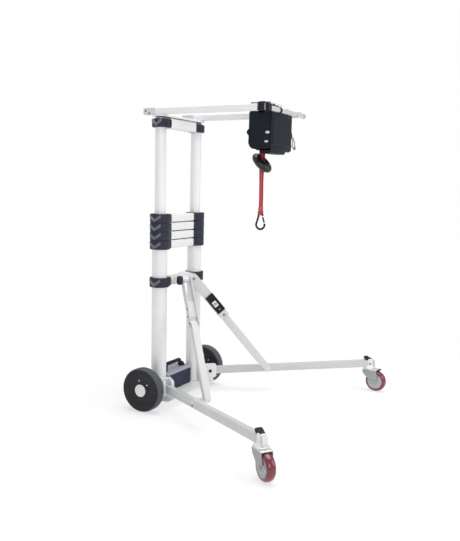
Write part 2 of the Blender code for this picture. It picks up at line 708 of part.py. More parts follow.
def hook(parent):
    """The lifting strap, and the snap hook that it carries."""
    half = STRAP_WIDTH / 2
    thin = STRAP_THICKNESS / 2
    lift = empty("hook_lift", (STRAP_X, 0, HOOK_TOP_Z), parent=parent)
    drop = -HOOK_TOP_Z
    strap = box("lift_strap", (-half, -thin, STRAP_FOOT_Z + drop), (half, thin, STRAP_TOP_Z + drop),
                RED_WEBBING)
    place(strap, parent=lift)

    wide = HOOK_HALF_WIDTH
    foot = -HOOK_HEIGHT + HOOK_WIRE
    bow = foot + wide
    eye = 0.010
    top = -eye - HOOK_WIRE
    path = []
    for x, z in round_end((0, top), eye, -20, 200, 9):
        path.append((x, 0, z))
    for x, z in round_end((0, bow), wide, 180, 375, 12):
        path.append((x, 0, z))
    body = wire("snap_hook", path, HOOK_WIRE, HANDLE_BLACK)
    place(body, parent=lift)
    latch_foot = Vector(path[-1])
    latch_head = Vector(path[0])
    run = latch_head - latch_foot
    lean = degrees(atan2(run.x, run.z))
    gate = empty("hook_gate_hinge", latch_foot, turn(lean, "Y"), lift)
    bar = rod("hook_gate", 0.0036, 0.0045, run.length - HOOK_WIRE, HANDLE_BLACK, segments=12)
    place(bar, parent=gate)


def clear_scene():
    for thing in list(bpy.data.objects):
        bpy.data.objects.remove(thing)


def centre_on_footprint():
    """Move everything so that the origin is the middle of the footprint, on the floor."""
    loose = [thing for thing in bpy.data.objects if thing.parent is None]
    root = empty("footprint_centre", (-FOOTPRINT_CENTRE[0], -FOOTPRINT_CENTRE[1], 0))
    for thing in loose:
        thing.parent = root


clear_scene()
PARTS = collection("patient_lift_hoist")
CUTTERS = collection("cutters")

ALUMINIUM = material("brushed aluminium", (0.78, 0.79, 0.80), 0.38, 0.6)
WHITE_PAINT = material("white paint", (0.78, 0.79, 0.81), 0.40)
WHITE_STEEL = material("white steel", (0.80, 0.80, 0.82), 0.45)
COLLAR_PLASTIC = material("slate blue plastic", (0.045, 0.055, 0.095), 0.50)
TYRE_RUBBER = material("charcoal rubber", (0.040, 0.045, 0.052), 0.75)
CASTER_TYRE = material("maroon polyurethane", (0.42, 0.05, 0.09), 0.30)
ZINC = material("zinc plate", (0.50, 0.51, 0.51), 0.35, 0.9)
STEEL = material("bright steel", (0.55, 0.55, 0.54), 0.30, 0.9)
DARK_STEEL = material("black steel", (0.020, 0.022, 0.028), 0.45, 0.2)
NAVY_BLACK = material("winch black", (0.015, 0.018, 0.028), 0.42)
NAVY_PLASTIC = material("navy plastic", (0.035, 0.038, 0.085), 0.45)
HANDLE_BLACK = material("black plastic", (0.012, 0.012, 0.014), 0.45)
LOCK_BLACK = material("lock black", (0.015, 0.015, 0.017), 0.40)
BUTTON_WHITE = material("button white", (0.80, 0.80, 0.80), 0.35)
RED_WEBBING = material("red webbing", (0.55, 0.02, 0.035), 0.85)

fixed_mast()
base_tray()
battery()
brace_hub()
stage = None
for level in (1, 2, 3):
    stage = sliding_stage(level, stage)
top = top_stage(stage)
boom(top)
hanger(top)
winch(top)
hook(top)
for side_label, side_sign in SIDES.items():
    rear_wheel(side_label, side_sign)
    leg_bracket(side_label, side_sign)
    brace(side_label, side_sign)
    caster(side_label, side_sign, leg(side_label, side_sign))
centre_on_footprint()
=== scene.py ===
"""Looks of the portable patient lift hoist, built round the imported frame.

Metres, in the frame's own axes: +Z up, +X forward, "near" pieces at -Y and "far" pieces at +Y.
"""
import json
from math import atan2, cos, degrees, hypot, pi, radians, sin, tau

import bmesh
import bpy
from mathutils import Matrix, Vector


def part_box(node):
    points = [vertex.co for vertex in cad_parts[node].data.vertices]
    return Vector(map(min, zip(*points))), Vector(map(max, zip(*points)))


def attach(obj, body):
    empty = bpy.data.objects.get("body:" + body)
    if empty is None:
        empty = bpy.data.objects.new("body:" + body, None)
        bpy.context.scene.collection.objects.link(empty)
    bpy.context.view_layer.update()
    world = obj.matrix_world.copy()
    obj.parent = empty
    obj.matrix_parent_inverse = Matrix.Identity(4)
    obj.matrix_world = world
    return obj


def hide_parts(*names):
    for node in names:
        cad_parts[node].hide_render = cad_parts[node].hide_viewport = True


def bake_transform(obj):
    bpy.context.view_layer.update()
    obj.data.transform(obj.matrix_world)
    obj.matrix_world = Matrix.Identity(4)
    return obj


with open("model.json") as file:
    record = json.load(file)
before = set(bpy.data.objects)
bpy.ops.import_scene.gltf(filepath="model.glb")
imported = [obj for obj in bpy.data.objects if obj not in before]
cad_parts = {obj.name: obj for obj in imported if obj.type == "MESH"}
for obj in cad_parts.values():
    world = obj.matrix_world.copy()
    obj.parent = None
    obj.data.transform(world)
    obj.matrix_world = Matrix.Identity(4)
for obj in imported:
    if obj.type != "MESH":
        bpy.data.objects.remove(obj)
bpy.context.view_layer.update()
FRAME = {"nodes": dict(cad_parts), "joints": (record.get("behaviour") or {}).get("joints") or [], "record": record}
SIDES = {"near": -1, "far": 1}
JOINTS = {joint["name"]: joint for joint in FRAME["joints"]}
SHARP_ANGLE = 32                 # degrees; a sharper bend than this shows as an edge
LEG_RISE = 0.042                 # from a leg's hinge up to its caster end
CASTER_AXLE = (0.038, 0.053)     # away from the kingpin, and above the floor
CASTER_HALF_WIDTH = 0.019
LINK_FOOT = (0.352, 0.125)       # forward of the mast and above the floor


# ---------------------------------------------------------------- places in the frame


def middle(node):
    low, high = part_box(node)
    return (low + high) / 2


def pivot(joint):
    return Vector(JOINTS[joint]["pos_m"])


def at(x, y=0.0, z=0.0):
    return Matrix.Translation(x if isinstance(x, Vector) else (x, y, z))


def turn(angle, axis):
    return Matrix.Rotation(radians(angle), 4, axis)


def facing(point, direction):
    """A place at the point, with its Z axis along the direction."""
    return at(Vector(point)) @ Vector(direction).to_track_quat("Z", "Y").to_matrix().to_4x4()


MAST_X = middle("lower_post_near").x
MID_Y = (middle("lower_post_near").y + middle("lower_post_far").y) / 2
POST_Y = {side: middle(f"lower_post_{side}").y for side in SIDES}


def from_mast(x, y, z):
    return Vector((MAST_X + x, MID_Y + y, z))


# ---------------------------------------------------------------- shapes


def lathe(builder, profile, place, segments=64, ripple=None):
    """Turn (radius, height) points, outer side from the top down, round the place's Z axis."""
    rings = []
    for radius, height in profile:
        ring = []
        for step in range(segments if radius > 0 else 1):
            angle = tau * step / segments
            reach = ripple(radius, height, step) if ripple else radius
            ring.append(builder.verts.new(place @ Vector((reach * cos(angle), reach * sin(angle), height))))
        rings.append(ring)
    pairs = list(zip(rings, rings[1:]))
    if profile[0][0] > 0:
        pairs.append((rings[-1], rings[0]))
    for upper, lower in pairs:
        for step in range(segments):
            after = (step + 1) % segments
            corners = [upper[step % len(upper)], upper[after % len(upper)],
                       lower[after % len(lower)], lower[step % len(lower)]]
            corners = list(dict.fromkeys(corners))
            if len(corners) > 2:
                builder.faces.new(corners)


def rounded(points, radius, steps=4):
    """The outline with each corner rounded."""
    result = []
    count = len(points)
    for index, point in enumerate(points):
        corner = Vector(point)
        ends = []
        for other in (points[index - 1], points[(index + 1) % count]):
            away = Vector(other) - corner
            ends.append(corner + away.normalized() * min(radius, 0.45 * away.length))
        for step in range(steps + 1):
            t = step / steps
            result.append(tuple(ends[0] * (1 - t) ** 2 + corner * 2 * t * (1 - t) + ends[1] * t * t))
    return result


def arc(centre, radius, start, end, count=12):
    angles = [radians(start + (end - start) * i / (count - 1)) for i in range(count)]
    return [(centre[0] + radius * cos(a), centre[1] + radius * sin(a)) for a in angles]


def prism(builder, outline, start, end, place=None, edge=0.0008):
    """An XZ outline drawn out along Y from start to end, with softened rims."""
    place = place or Matrix.Identity(4)
    caps = [[builder.verts.new(place @ Vector((x, y, z))) for x, z in outline] for y in (start, end)]
    faces = [builder.faces.new(cap) for cap in caps]
    count = len(outline)
    for index in range(count):
        after = (index + 1) % count
        builder.faces.new([caps[0][index], caps[0][after], caps[1][after], caps[1][index]])
    if edge:
        rims = [rim for face in faces for rim in face.edges]
        bmesh.ops.bevel(builder, geom=rims, offset=edge, segments=2, profile=0.6, affect="EDGES")


def block(builder, low, high, place=None, corner=0.002, edge=0.0008):
    """A box with rounded corners seen along Y."""
    outline = [(low[0], low[2]), (high[0], low[2]), (high[0], high[2]), (low[0], high[2])]
    prism(builder, rounded(outline, corner), low[1], high[1], place, edge)


def skin(builder, rings):
    """Join each ring of vertices to the next one, and close both ends."""
    count = len(rings[0])
    for before, after in zip(rings, rings[1:]):
        for step in range(count):
            other = (step + 1) % count
            builder.faces.new([before[step], before[other], after[other], after[step]])
    builder.faces.new(rings[0])
    builder.faces.new(rings[-1])


def sweep(builder, points, radius, sides=14):
    """A round bar along the points."""
    points = [Vector(point) for point in points]
    across = None
    rings = []
    for index, point in enumerate(points):
        before = points[max(index - 1, 0)]
        after = points[min(index + 1, len(points) - 1)]
        along = (after - before).normalized()
        if across is None:
            across = along.orthogonal().normalized()
        across = (across - along * across.dot(along)).normalized()
        lift = along.cross(across)
        ring = []
        for step in range(sides):
            angle = tau * step / sides
            ring.append(builder.verts.new(point + radius * (across * cos(angle) + lift * sin(angle))))
        rings.append(ring)
    skin(builder, rings)


def bolt(builder, place, radius=0.006, height=0.004, washer=True):
    """A hexagon head on a washer, standing on the place's XY plane."""
    foot = 0.0
    if washer:
        foot = 0.0012
        lathe(builder, [(0, foot), (radius * 1.5, foot), (radius * 1.62, 0), (0, 0)], place, 32)
    shoulder = foot + height * 0.8
    lathe(builder, [(0, foot + height), (radius * 0.82, foot + height), (radius, shoulder), (radius, foot),
                    (0, foot)], place, 6)


def dome_bolt(builder, place, radius=0.007, height=0.0035):
    profile = [(radius * sin(radians(a)), height * cos(radians(a))) for a in (0, 20, 40, 60, 80, 90)]
    socket = [(0, height * 0.45), (radius * 0.38, height * 0.45)]
    lathe(builder, socket + [(radius * 0.42, height * 0.93)] + profile[2:] + [(0, 0)], place, 32)


def new_object(name, builder, material):
    """Close the builder into an object of one material."""
    bmesh.ops.recalc_face_normals(builder, faces=builder.faces)
    mesh = bpy.data.meshes.new(name)
    builder.to_mesh(mesh)
    builder.free()
    mesh.materials.append(material)
    made = bpy.data.objects.new(name, mesh)
    bpy.context.scene.collection.objects.link(made)
    return made


def piece(name, builder, body, look, *stands_for):
    """Close the builder into a piece that rides on a body, in place of the CAD nodes named."""
    made = new_object(name, builder, FINISHES[look])
    made.data.shade_smooth()
    made.data.set_sharp_from_angle(angle=radians(SHARP_ANGLE))
    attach(made, body)
    if stands_for:
        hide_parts(*stands_for)


def refine(node, look, edge=0.0):
    """Give a CAD node its finish, softened edges and smooth round faces."""
    shown = FRAME["nodes"][node]
    shown.data.materials.clear()
    shown.data.materials.append(FINISHES[look])
    for polygon in shown.data.polygons:
        polygon.material_index = 0
        polygon.use_smooth = True
    weld = shown.modifiers.new("Weld", "WELD")
    weld.merge_threshold = 0.00002
    if edge:
        bevel = shown.modifiers.new("Bevel", "BEVEL")
        bevel.width = edge
        bevel.segments = 2
        bevel.limit_method = "ANGLE"
        bevel.angle_limit = radians(50)
        bevel.use_clamp_overlap = True
    split = shown.modifiers.new("Split", "EDGE_SPLIT")
    split.split_angle = radians(SHARP_ANGLE)


# ---------------------------------------------------------------- finishes


def add_node(tree, kind, settings=None, **inputs):
    made = tree.nodes.new("ShaderNode" + kind)
    for key, value in (settings or {}).items():
        setattr(made, key, value)
    for key, value in inputs.items():
        socket = made.inputs[int(key[2:])] if key.startswith("in") else made.inputs[key.replace("_", " ")]
        if isinstance(value, bpy.types.NodeSocket):
            tree.links.new(value, socket)
        else:
            socket.default_value = value
    return made


def stretched(tree, scale):
    """Object coordinates, scaled to lengthen a texture along an axis."""
    place = add_node(tree, "TexCoord")
    return add_node(tree, "Mapping", None, Vector=place.outputs["Object"], Scale=scale).outputs[0]


def noise(tree, scale, stretch=(1, 1, 1), detail=3.0):
    made = add_node(tree, "TexNoise", None, Vector=stretched(tree, stretch), Scale=scale, Detail=detail)
    return made.outputs["Fac"]


def ranged(tree, value, low, high, start=0.3, end=0.7):
    made = add_node(tree, "MapRange", None, Value=value, in1=start, in2=end, in3=low, in4=high)
    return made.outputs[0]


def mixed(tree, share, first, second):
    made = add_node(tree, "Mix", {"data_type": "RGBA"}, in0=share)
    for socket, value in ((made.inputs[6], first), (made.inputs[7], second)):
        if isinstance(value, bpy.types.NodeSocket):
            tree.links.new(value, socket)
        else:
            socket.default_value = (*value, 1.0)
    return made.outputs[2]


def shade(colour, factor):
    return tuple(min(1.0, channel * factor) for channel in colour)


def edge_highlight_and_wear(tree, radius):
    """How far a point is from flat: high along an edge, where finishes paint edge highlights and shade, with some
    wear.
    """
    soft = add_node(tree, "Bevel", {"samples": 4}, Radius=radius)
    true = add_node(tree, "NewGeometry")
    alike = add_node(tree, "VectorMath", {"operation": "DOT_PRODUCT"}, in0=soft.outputs[0],
                     in1=true.outputs["Normal"])
    return ranged(tree, alike.outputs["Value"], 1.0, 0.0, 0.8, 0.985)


def finish(name, colour, roughness, metallic=0.0, grain=900.0, relief=0.00004, stretch=(1, 1, 1),
           vary=0.08, edge_colour=None, edge_radius=0.0012, specular=0.5):
    """A base colour with slow and fine variation, uneven gloss, surface relief, and edges tinted toward
    edge_colour: a paler one paints highlights along the edges, with some wear; a darker one darkens them.
    """
    made = bpy.data.materials.new(name)
    made.use_nodes = True
    tree = made.node_tree
    shader = tree.nodes["Principled BSDF"]
    slow = ranged(tree, noise(tree, 9.0), 0.0, 1.0)
    fine = noise(tree, grain, stretch)
    tone = mixed(tree, slow, shade(colour, 1 - vary), shade(colour, 1 + vary))
    tone = mixed(tree, ranged(tree, fine, 0.0, 0.35), tone, shade(colour, 1 - 2.2 * vary))
    # Edge colour mixed in along edges: painted highlight where it is paler; the caster tyre's darker one is
    # painted shade.
    if edge_colour:
        tone = mixed(tree, edge_highlight_and_wear(tree, edge_radius), tone, edge_colour)
    tree.links.new(tone, shader.inputs["Base Color"])
    gloss = ranged(tree, noise(tree, 45.0), roughness - 0.06, roughness + 0.07)
    tree.links.new(gloss, shader.inputs["Roughness"])
    shader.inputs["Metallic"].default_value = metallic
    shader.inputs["Specular IOR Level"].default_value = specular
    bump = add_node(tree, "Bump", None, Height=fine, Distance=relief, Strength=0.6)
    tree.links.new(bump.outputs[0], shader.inputs["Normal"])
    FINISHES[name] = made
    return made


def shader_of(name):
    return FINISHES[name].node_tree.nodes["Principled BSDF"]


def speckle(name, dark, size, share):
    """Scatter dark specks over a finish."""
    tree = FINISHES[name].node_tree
    shader = tree.nodes["Principled BSDF"]
    old = shader.inputs["Base Color"].links[0].from_socket
    spots = ranged(tree, noise(tree, size, detail=1.0), 0.0, 1.0, share, share + 0.04)
    tree.links.new(mixed(tree, spots, old, dark), shader.inputs["Base Color"])


def webbing(name, colour, stripe):
    """Woven tape: a lighter stripe down the middle and a fine over-and-under weave."""
    made = finish(name, colour, 0.82, grain=1400.0, relief=0.0001, vary=0.1)
    tree = made.node_tree
    shader = tree.nodes["Principled BSDF"]
    base = shader.inputs["Base Color"].links[0].from_socket
    across = add_node(tree, "SeparateXYZ", None, Vector=stretched(tree, (1, 1, 1))).outputs["X"]
    offset = add_node(tree, "Math", {"operation": "SUBTRACT"}, in0=across, in1=STRAP.x).outputs[0]
    width = add_node(tree, "Math", {"operation": "ABSOLUTE"}, in0=offset).outputs[0]
    band = ranged(tree, width, 0.85, 0.0, 0.0022, 0.0034)
    tree.links.new(mixed(tree, band, base, stripe), shader.inputs["Base Color"])
    weave = add_node(tree, "TexWave", {"wave_type": "BANDS", "bands_direction": "DIAGONAL"},
                     Vector=stretched(tree, (1, 1, 1)), Scale=420.0, Distortion=0.6)
    bump = add_node(tree, "Bump", None, Height=weave.outputs["Fac"], Distance=0.0004, Strength=0.7)
    tree.links.new(bump.outputs[0], shader.inputs["Normal"])
    shader.inputs["Sheen Weight"].default_value = 0.3


STRAP = middle("lift_strap")
FINISHES = {}
# A slightly darker grey mixed into the zinc's edges.
DARKER_ZINC_EDGE = (0.3, 0.31, 0.33)
finish("anodised", (0.76, 0.765, 0.775), 0.42, 0.1, 260.0, 0.00003, (6, 6, 0.12), 0.02)
finish("rung_metal", (0.78, 0.775, 0.77), 0.45, 0.1, 260.0, 0.00003, (6, 0.12, 6), 0.03)
# The white looks are one white paint: the legs' and links' darker copies are painted shade, and each look's paler
# edge colour is painted highlight along its edges.
WHITES = {
    "paint": ("white_paint", (0.76, 0.76, 0.765), 0.42, 0.82),
    "shaded_leg_paint": ("white_paint", (0.56, 0.56, 0.555), 0.38, 0.7),
    "shaded_link_paint": ("white_paint", (0.62, 0.615, 0.61), 0.38, 0.78),
    "plate": ("white_steel", (0.74, 0.74, 0.745), 0.45, 0.82),
}
for look, (slot, colour, roughness, edge) in WHITES.items():
    finish(look, colour, roughness, 0.0, 850.0, 0.00005, vary=0.03, edge_colour=(edge, edge, edge))
# The collar's paler edge colour paints highlights along its edges, such as the light line between stacked collars.
finish("collar", (0.019, 0.021, 0.04), 0.5, 0.0, 1300.0, 0.00006, vary=0.12,
       edge_colour=(0.1, 0.105, 0.14), specular=0.3)
# The chevrons' paler finish, with paler edges still, is painted highlight on the V's arms.
finish("collar_chevron_highlight", (0.105, 0.108, 0.14), 0.34, 0.0, 1300.0, 0.00006, vary=0.1,
       edge_colour=(0.32, 0.32, 0.37), specular=0.6)
# Tyre, tread and disc take paler edge colours: painted highlight along their edges, with some wear.
finish("tyre", (0.024, 0.023, 0.026), 0.7, 0.0, 500.0, 0.00012, vary=0.2,
       edge_colour=(0.06, 0.06, 0.065), specular=0.25)
finish("tread", (0.082, 0.088, 0.106), 0.66, 0.0, 500.0, 0.00012, vary=0.22,
       edge_colour=(0.19, 0.2, 0.22), specular=0.35)
finish("disc", (0.02, 0.02, 0.024), 0.55, 0.0, 700.0, 0.00008, vary=0.18,
       edge_colour=(0.05, 0.05, 0.06), specular=0.25)
finish("hub_cap", (0.78, 0.77, 0.76), 0.45, 0.0, 600.0, 0.00008, vary=0.05)
speckle("hub_cap", (0.33, 0.32, 0.31), 420.0, 0.6)
# The caster tyre's darker edge colour is painted shade on the tyre's sides and edges.
finish("polyurethane", (0.185, 0.014, 0.034), 0.16, 0.0, 260.0, 0.00002, vary=0.12,
       edge_colour=(0.05, 0.006, 0.012), edge_radius=0.004)
finish("caster_hub", (0.46, 0.49, 0.51), 0.3, 0.0, 500.0, 0.00003, vary=0.06)
finish("caster_tab", (0.07, 0.022, 0.026), 0.45, 0.0, 900.0, 0.00005, vary=0.15)
finish("zinc", (0.36, 0.37, 0.355), 0.36, 0.45, 120.0, 0.00003, (1, 1, 1), 0.12, DARKER_ZINC_EDGE)
# A paler copy of the zinc for the fork's crown: painted highlight where it faces the light.
finish("zinc_top", (0.7, 0.71, 0.7), 0.3, 0.35, 120.0, 0.00003, (1, 1, 1), 0.06)
finish("steel", (0.6, 0.595, 0.58), 0.36, 0.45, 160.0, 0.00001, (6, 0.15, 6), 0.04)
# These dark finishes take paler edge colours: painted highlight along their edges, with some wear.
finish("dark_steel", (0.012, 0.017, 0.024), 0.42, 0.1, 900.0, 0.00005, vary=0.15,
       edge_colour=(0.07, 0.08, 0.1), specular=0.3)
finish("plate_steel", (0.3, 0.32, 0.35), 0.38, 0.5, 260.0, 0.00004, (0.15, 6, 6), 0.08)
finish("winch", (0.008, 0.011, 0.018), 0.48, 0.0, 1100.0, 0.0001, vary=0.15,
       edge_colour=(0.03, 0.035, 0.045), specular=0.14)
finish("winch_detail", (0.62, 0.62, 0.64), 0.35, 0.0, 900.0, 0.00004, vary=0.05)
finish("battery", (0.022, 0.028, 0.056), 0.5, 0.0, 1300.0, 0.00008, vary=0.12,
       edge_colour=(0.06, 0.07, 0.11), specular=0.25)
# A much paler copy of the battery plastic for the lid: painted light on its top, with paler edges as painted
# highlight.
finish("battery_lid_lit", (0.36, 0.365, 0.44), 0.42, 0.0, 1300.0, 0.00008, vary=0.06,
       edge_colour=(0.5, 0.51, 0.58), specular=0.4)
finish("black", (0.01, 0.01, 0.012), 0.42, 0.0, 1300.0, 0.00008, vary=0.15,
       edge_colour=(0.05, 0.05, 0.055), specular=0.25)
finish("stopper", (0.012, 0.015, 0.013), 0.3, 0.0, 900.0, 0.00008, vary=0.15,
       edge_colour=(0.045, 0.055, 0.05), specular=0.4)
finish("lock", (0.008, 0.008, 0.009), 0.45, 0.0, 1300.0, 0.00006, vary=0.15,
       edge_colour=(0.04, 0.04, 0.045), specular=0.22)
finish("button", (0.78, 0.78, 0.78), 0.34, 0.0, 900.0, 0.00003, vary=0.03)
finish("button_mark", (0.2, 0.2, 0.2), 0.4, 0.0, 900.0, 0.00003, vary=0.05)
finish("fastener", (0.02, 0.02, 0.022), 0.4, 0.3, 500.0, 0.00003, vary=0.15, specular=0.3)
finish("cable", (0.26, 0.25, 0.23), 0.5, 0.0, 900.0, 0.00005, vary=0.15)
webbing("webbing", (0.42, 0.012, 0.024), (0.62, 0.1, 0.11))
finish("stitching", (0.74, 0.3, 0.28), 0.8, 0.0, 1500.0, 0.0001, vary=0.1)
shader_of("polyurethane").inputs["Subsurface Weight"].default_value = 0.08
shader_of("polyurethane").inputs["Subsurface Radius"].default_value = (0.01, 0.003, 0.004)
shader_of("polyurethane").inputs["Coat Weight"].default_value = 0.6
shader_of("polyurethane").inputs["Coat Roughness"].default_value = 0.12


# ---------------------------------------------------------------- mast


def tube_of(node):
    if node.startswith("stage"):
        return node.replace("collar", "tube")
    kind = "top_tube" if node.startswith("top") else "lower_post"
    return f"{kind}_{node.rsplit('_', 1)[1]}"


def chevron(builder, axis, side, low, high, reach):
    """A raised V on the outer end of a collar, with a ridge along the middle of each arm."""
    steps = 10
    tall = high - low
    section = ((reach - 0.002, 0.0), (reach + 0.0026, 0.07), (reach + 0.004, 0.2), (reach + 0.003, 0.34),
               (reach - 0.002, 0.44))
    rings = []
    for index in range(2 * steps + 1):
        run = (index - steps) / steps
        angle = side * pi / 2 - run * 0.64
        foot = low + (0.04 + 0.48 * abs(run)) * tall
        ring = []
        for radius, rise in section:
            spot = (axis.x + radius * cos(angle), axis.y + radius * sin(angle), foot + rise * tall)
            ring.append(builder.verts.new(spot))
        rings.append(ring)
    skin(builder, rings)


def collar(node, body):
    """A moulded collar: a bulged shell, a socket for the rung and a raised V on its outer end, drawn paler as
    painted highlight.
    """
    low, high = (corner.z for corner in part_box(node))
    top = high
    reach, socket = 0.0462, 0.0498
    capped = node.startswith("top")
    if capped:
        low += 0.003
        high -= 0.007
        reach, socket = 0.0405, 0.0415
    side = SIDES[node.rsplit("_", 1)[1]]
    tube_low, tube_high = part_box(tube_of(node))
    bore = (tube_high.x - tube_low.x) / 2 + 0.0003
    axis = Vector((MAST_X, MID_Y + side * 0.15, 0))
    outside = [(reach - 0.0022, high), (reach - 0.0006, high - 0.0012), (reach, high - 0.0034),
               (reach, low + 0.004), (reach - 0.0008, low + 0.0014), (reach - 0.003, low)]
    builder = bmesh.new()
    if capped:
        crown = [(0, top), (0.023, top), (0.0245, high + 0.0005), (0.7 * reach, high - 0.0005),
                 (0.86 * reach, high - 0.0035), (0.96 * reach, high - 0.01), (reach, high - 0.018)]
        shell = crown + outside[3:] + [(bore, low), (bore, high - 0.0048), (0, high - 0.0048)]
        lathe(builder, shell, at(axis))
    else:
        lathe(builder, [(bore, high)] + outside + [(bore, low)], at(axis))
    inner = axis.y - side * 0.0355
    outer = axis.y - side * socket
    start, end = sorted((inner, outer))
    block(builder, (MAST_X - 0.03, start, low + 0.0008), (MAST_X + 0.03, end, high - 0.0008), corner=0.006,
          edge=0.0022)
    piece(node.replace("collar", "collar_shell"), builder, body, "collar", node)
    # The V gets a paler finish than the shell: painted highlight on its arms.
    builder = bmesh.new()
    chevron(builder, axis, side, low, high, reach)
    piece(node.replace("collar", "collar_chevron_highlight"), builder, body, "collar_chevron_highlight")


def rung(node, body):
    """A drawn bar with ribbed top and bottom treads."""
    low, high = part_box(node)
    half = (high.x - low.x) / 2
    ribs = 7
    tread = []
    for index in range(ribs):
        x = (index - (ribs - 1) / 2) * 0.0056
        tread += [(x - 0.002, 0.0), (x - 0.0012, -0.0011), (x + 0.0012, -0.0011), (x + 0.002, 0.0)]
    upper = [(MAST_X + x, high.z + depth) for x, depth in tread]
    lower = [(MAST_X + x, low.z - depth) for x, depth in reversed(tread)]
    front = arc((MAST_X + half - 0.005, high.z - 0.005), 0.005, 90, 0, 6)
    front += arc((MAST_X + half - 0.005, low.z + 0.005), 0.005, 0, -90, 6)
    back = arc((MAST_X - half + 0.005, low.z + 0.005), 0.005, 270, 180, 6)
    back += arc((MAST_X - half + 0.005, high.z - 0.005), 0.005, 180, 90, 6)
    builder = bmesh.new()
    spare = 0.0085 if node == "top_rung" else -0.0001
    prism(builder, upper + front + lower + back, low.y - spare, high.y + spare, edge=0)
    piece(node + "_bar", builder, body, "rung_metal", node)


def mast():
    for body, names in FRAME["record"]["behaviour"]["bodies"].items():
        for node in names:
            if "collar" in node:
                collar(node, body)
            elif node.endswith("rung"):
                rung(node, body)
            elif "tube_" in node or "post" in node:
                refine(node, "anodised")


# ---------------------------------------------------------------- rear wheels


def mirrored(face):
    return face + [(radius, -height) for radius, height in reversed(face)]


def tread_groove(radius, height, step):
    """Cross grooves in the tread, with a plain rib round the middle."""
    if radius > 0.0965 and abs(height) > 0.004 and step % 4 == 0:
        return radius - 0.0016
    return radius


def rear_wheel(label, side):
    """A charcoal tyre and disc with a paler tread band, held by a speckled hub cap."""
    body = f"rear_wheel_{label}"
    place = at(pivot(f"{body}_spin")) @ turn(-90 * side, "X")
    half = 0.0265
    builder = bmesh.new()
    face = [(0.064, half - 0.004), (0.07, half - 0.0012), (0.086, half), (0.0925, half - 0.0012),
            (0.0958, half - 0.0048)]
    lathe(builder, mirrored(face), place, 128)
    piece(f"tyre_{label}", builder, body, "tyre", body)

    builder = bmesh.new()
    face = [(0.0935, half - 0.005), (0.0972, half - 0.0045), (0.0992, half - 0.008),
            (0.1, half - 0.013), (0.1, 0.0045)]
    lathe(builder, mirrored(face), place, 192, tread_groove)
    piece(f"tread_{label}", builder, body, "tread")

    builder = bmesh.new()
    face = [(0.0088, half - 0.004), (0.029, half - 0.004), (0.0305, half - 0.0056),
            (0.042, half - 0.0066), (0.056, half - 0.0066), (0.06, half - 0.004),
            (0.0644, half - 0.0034)]
    lathe(builder, mirrored(face), place, 96)
    piece(f"wheel_disc_{label}", builder, body, "disc")

    # Two small raised tabs in the pale hub-cap finish, placed only where the disc shows glints: painted
    # highlights.
    builder = bmesh.new()
    tab = rounded([(0.0425, -0.003), (0.05, -0.0012), (0.05, 0.0012), (0.0425, 0.003)], 0.0012)
    for angle in (41, 101):
        for end in (-1, 1):
            start, stop = sorted((end * (half - 0.007), end * (half - 0.0046)))
            prism(builder, tab, start, stop, place @ turn(-side * angle, "Z") @ turn(90, "X"), 0.0004)
    piece(f"wheel_tabs_{label}", builder, body, "hub_cap")

    builder = bmesh.new()
    cap = half - 0.0036
    shaft = -(abs(pivot(f"{body}_spin").y - POST_Y[label]) + 0.018)
    dome = [(0.0285 * sin(radians(a)), cap + 0.0022 + 0.005 * cos(radians(a))) for a in range(0, 91, 15)]
    lathe(builder, dome + [(0.0285, cap), (0.008, cap), (0.008, shaft), (0, shaft)], place)
    piece(f"hub_cap_{label}", builder, "frame", "hub_cap", f"wheel_axle_{label}")


# ---------------------------------------------------------------- legs and casters


def leg_axes(label):
    """A place at the leg's hinge with X along the tube, and the tube's length to the caster."""
    hinge = pivot(f"leg_{label}_fold")
    swivel = pivot(f"caster_{label}_swivel")
    run = Vector((swivel.x - hinge.x, swivel.y - hinge.y, LEG_RISE))
    plan = degrees(atan2(run.y, run.x))
    tilt = degrees(atan2(run.z, hypot(run.x, run.y)))
    return at(hinge) @ turn(plan, "Z") @ turn(-tilt, "Y"), run.length


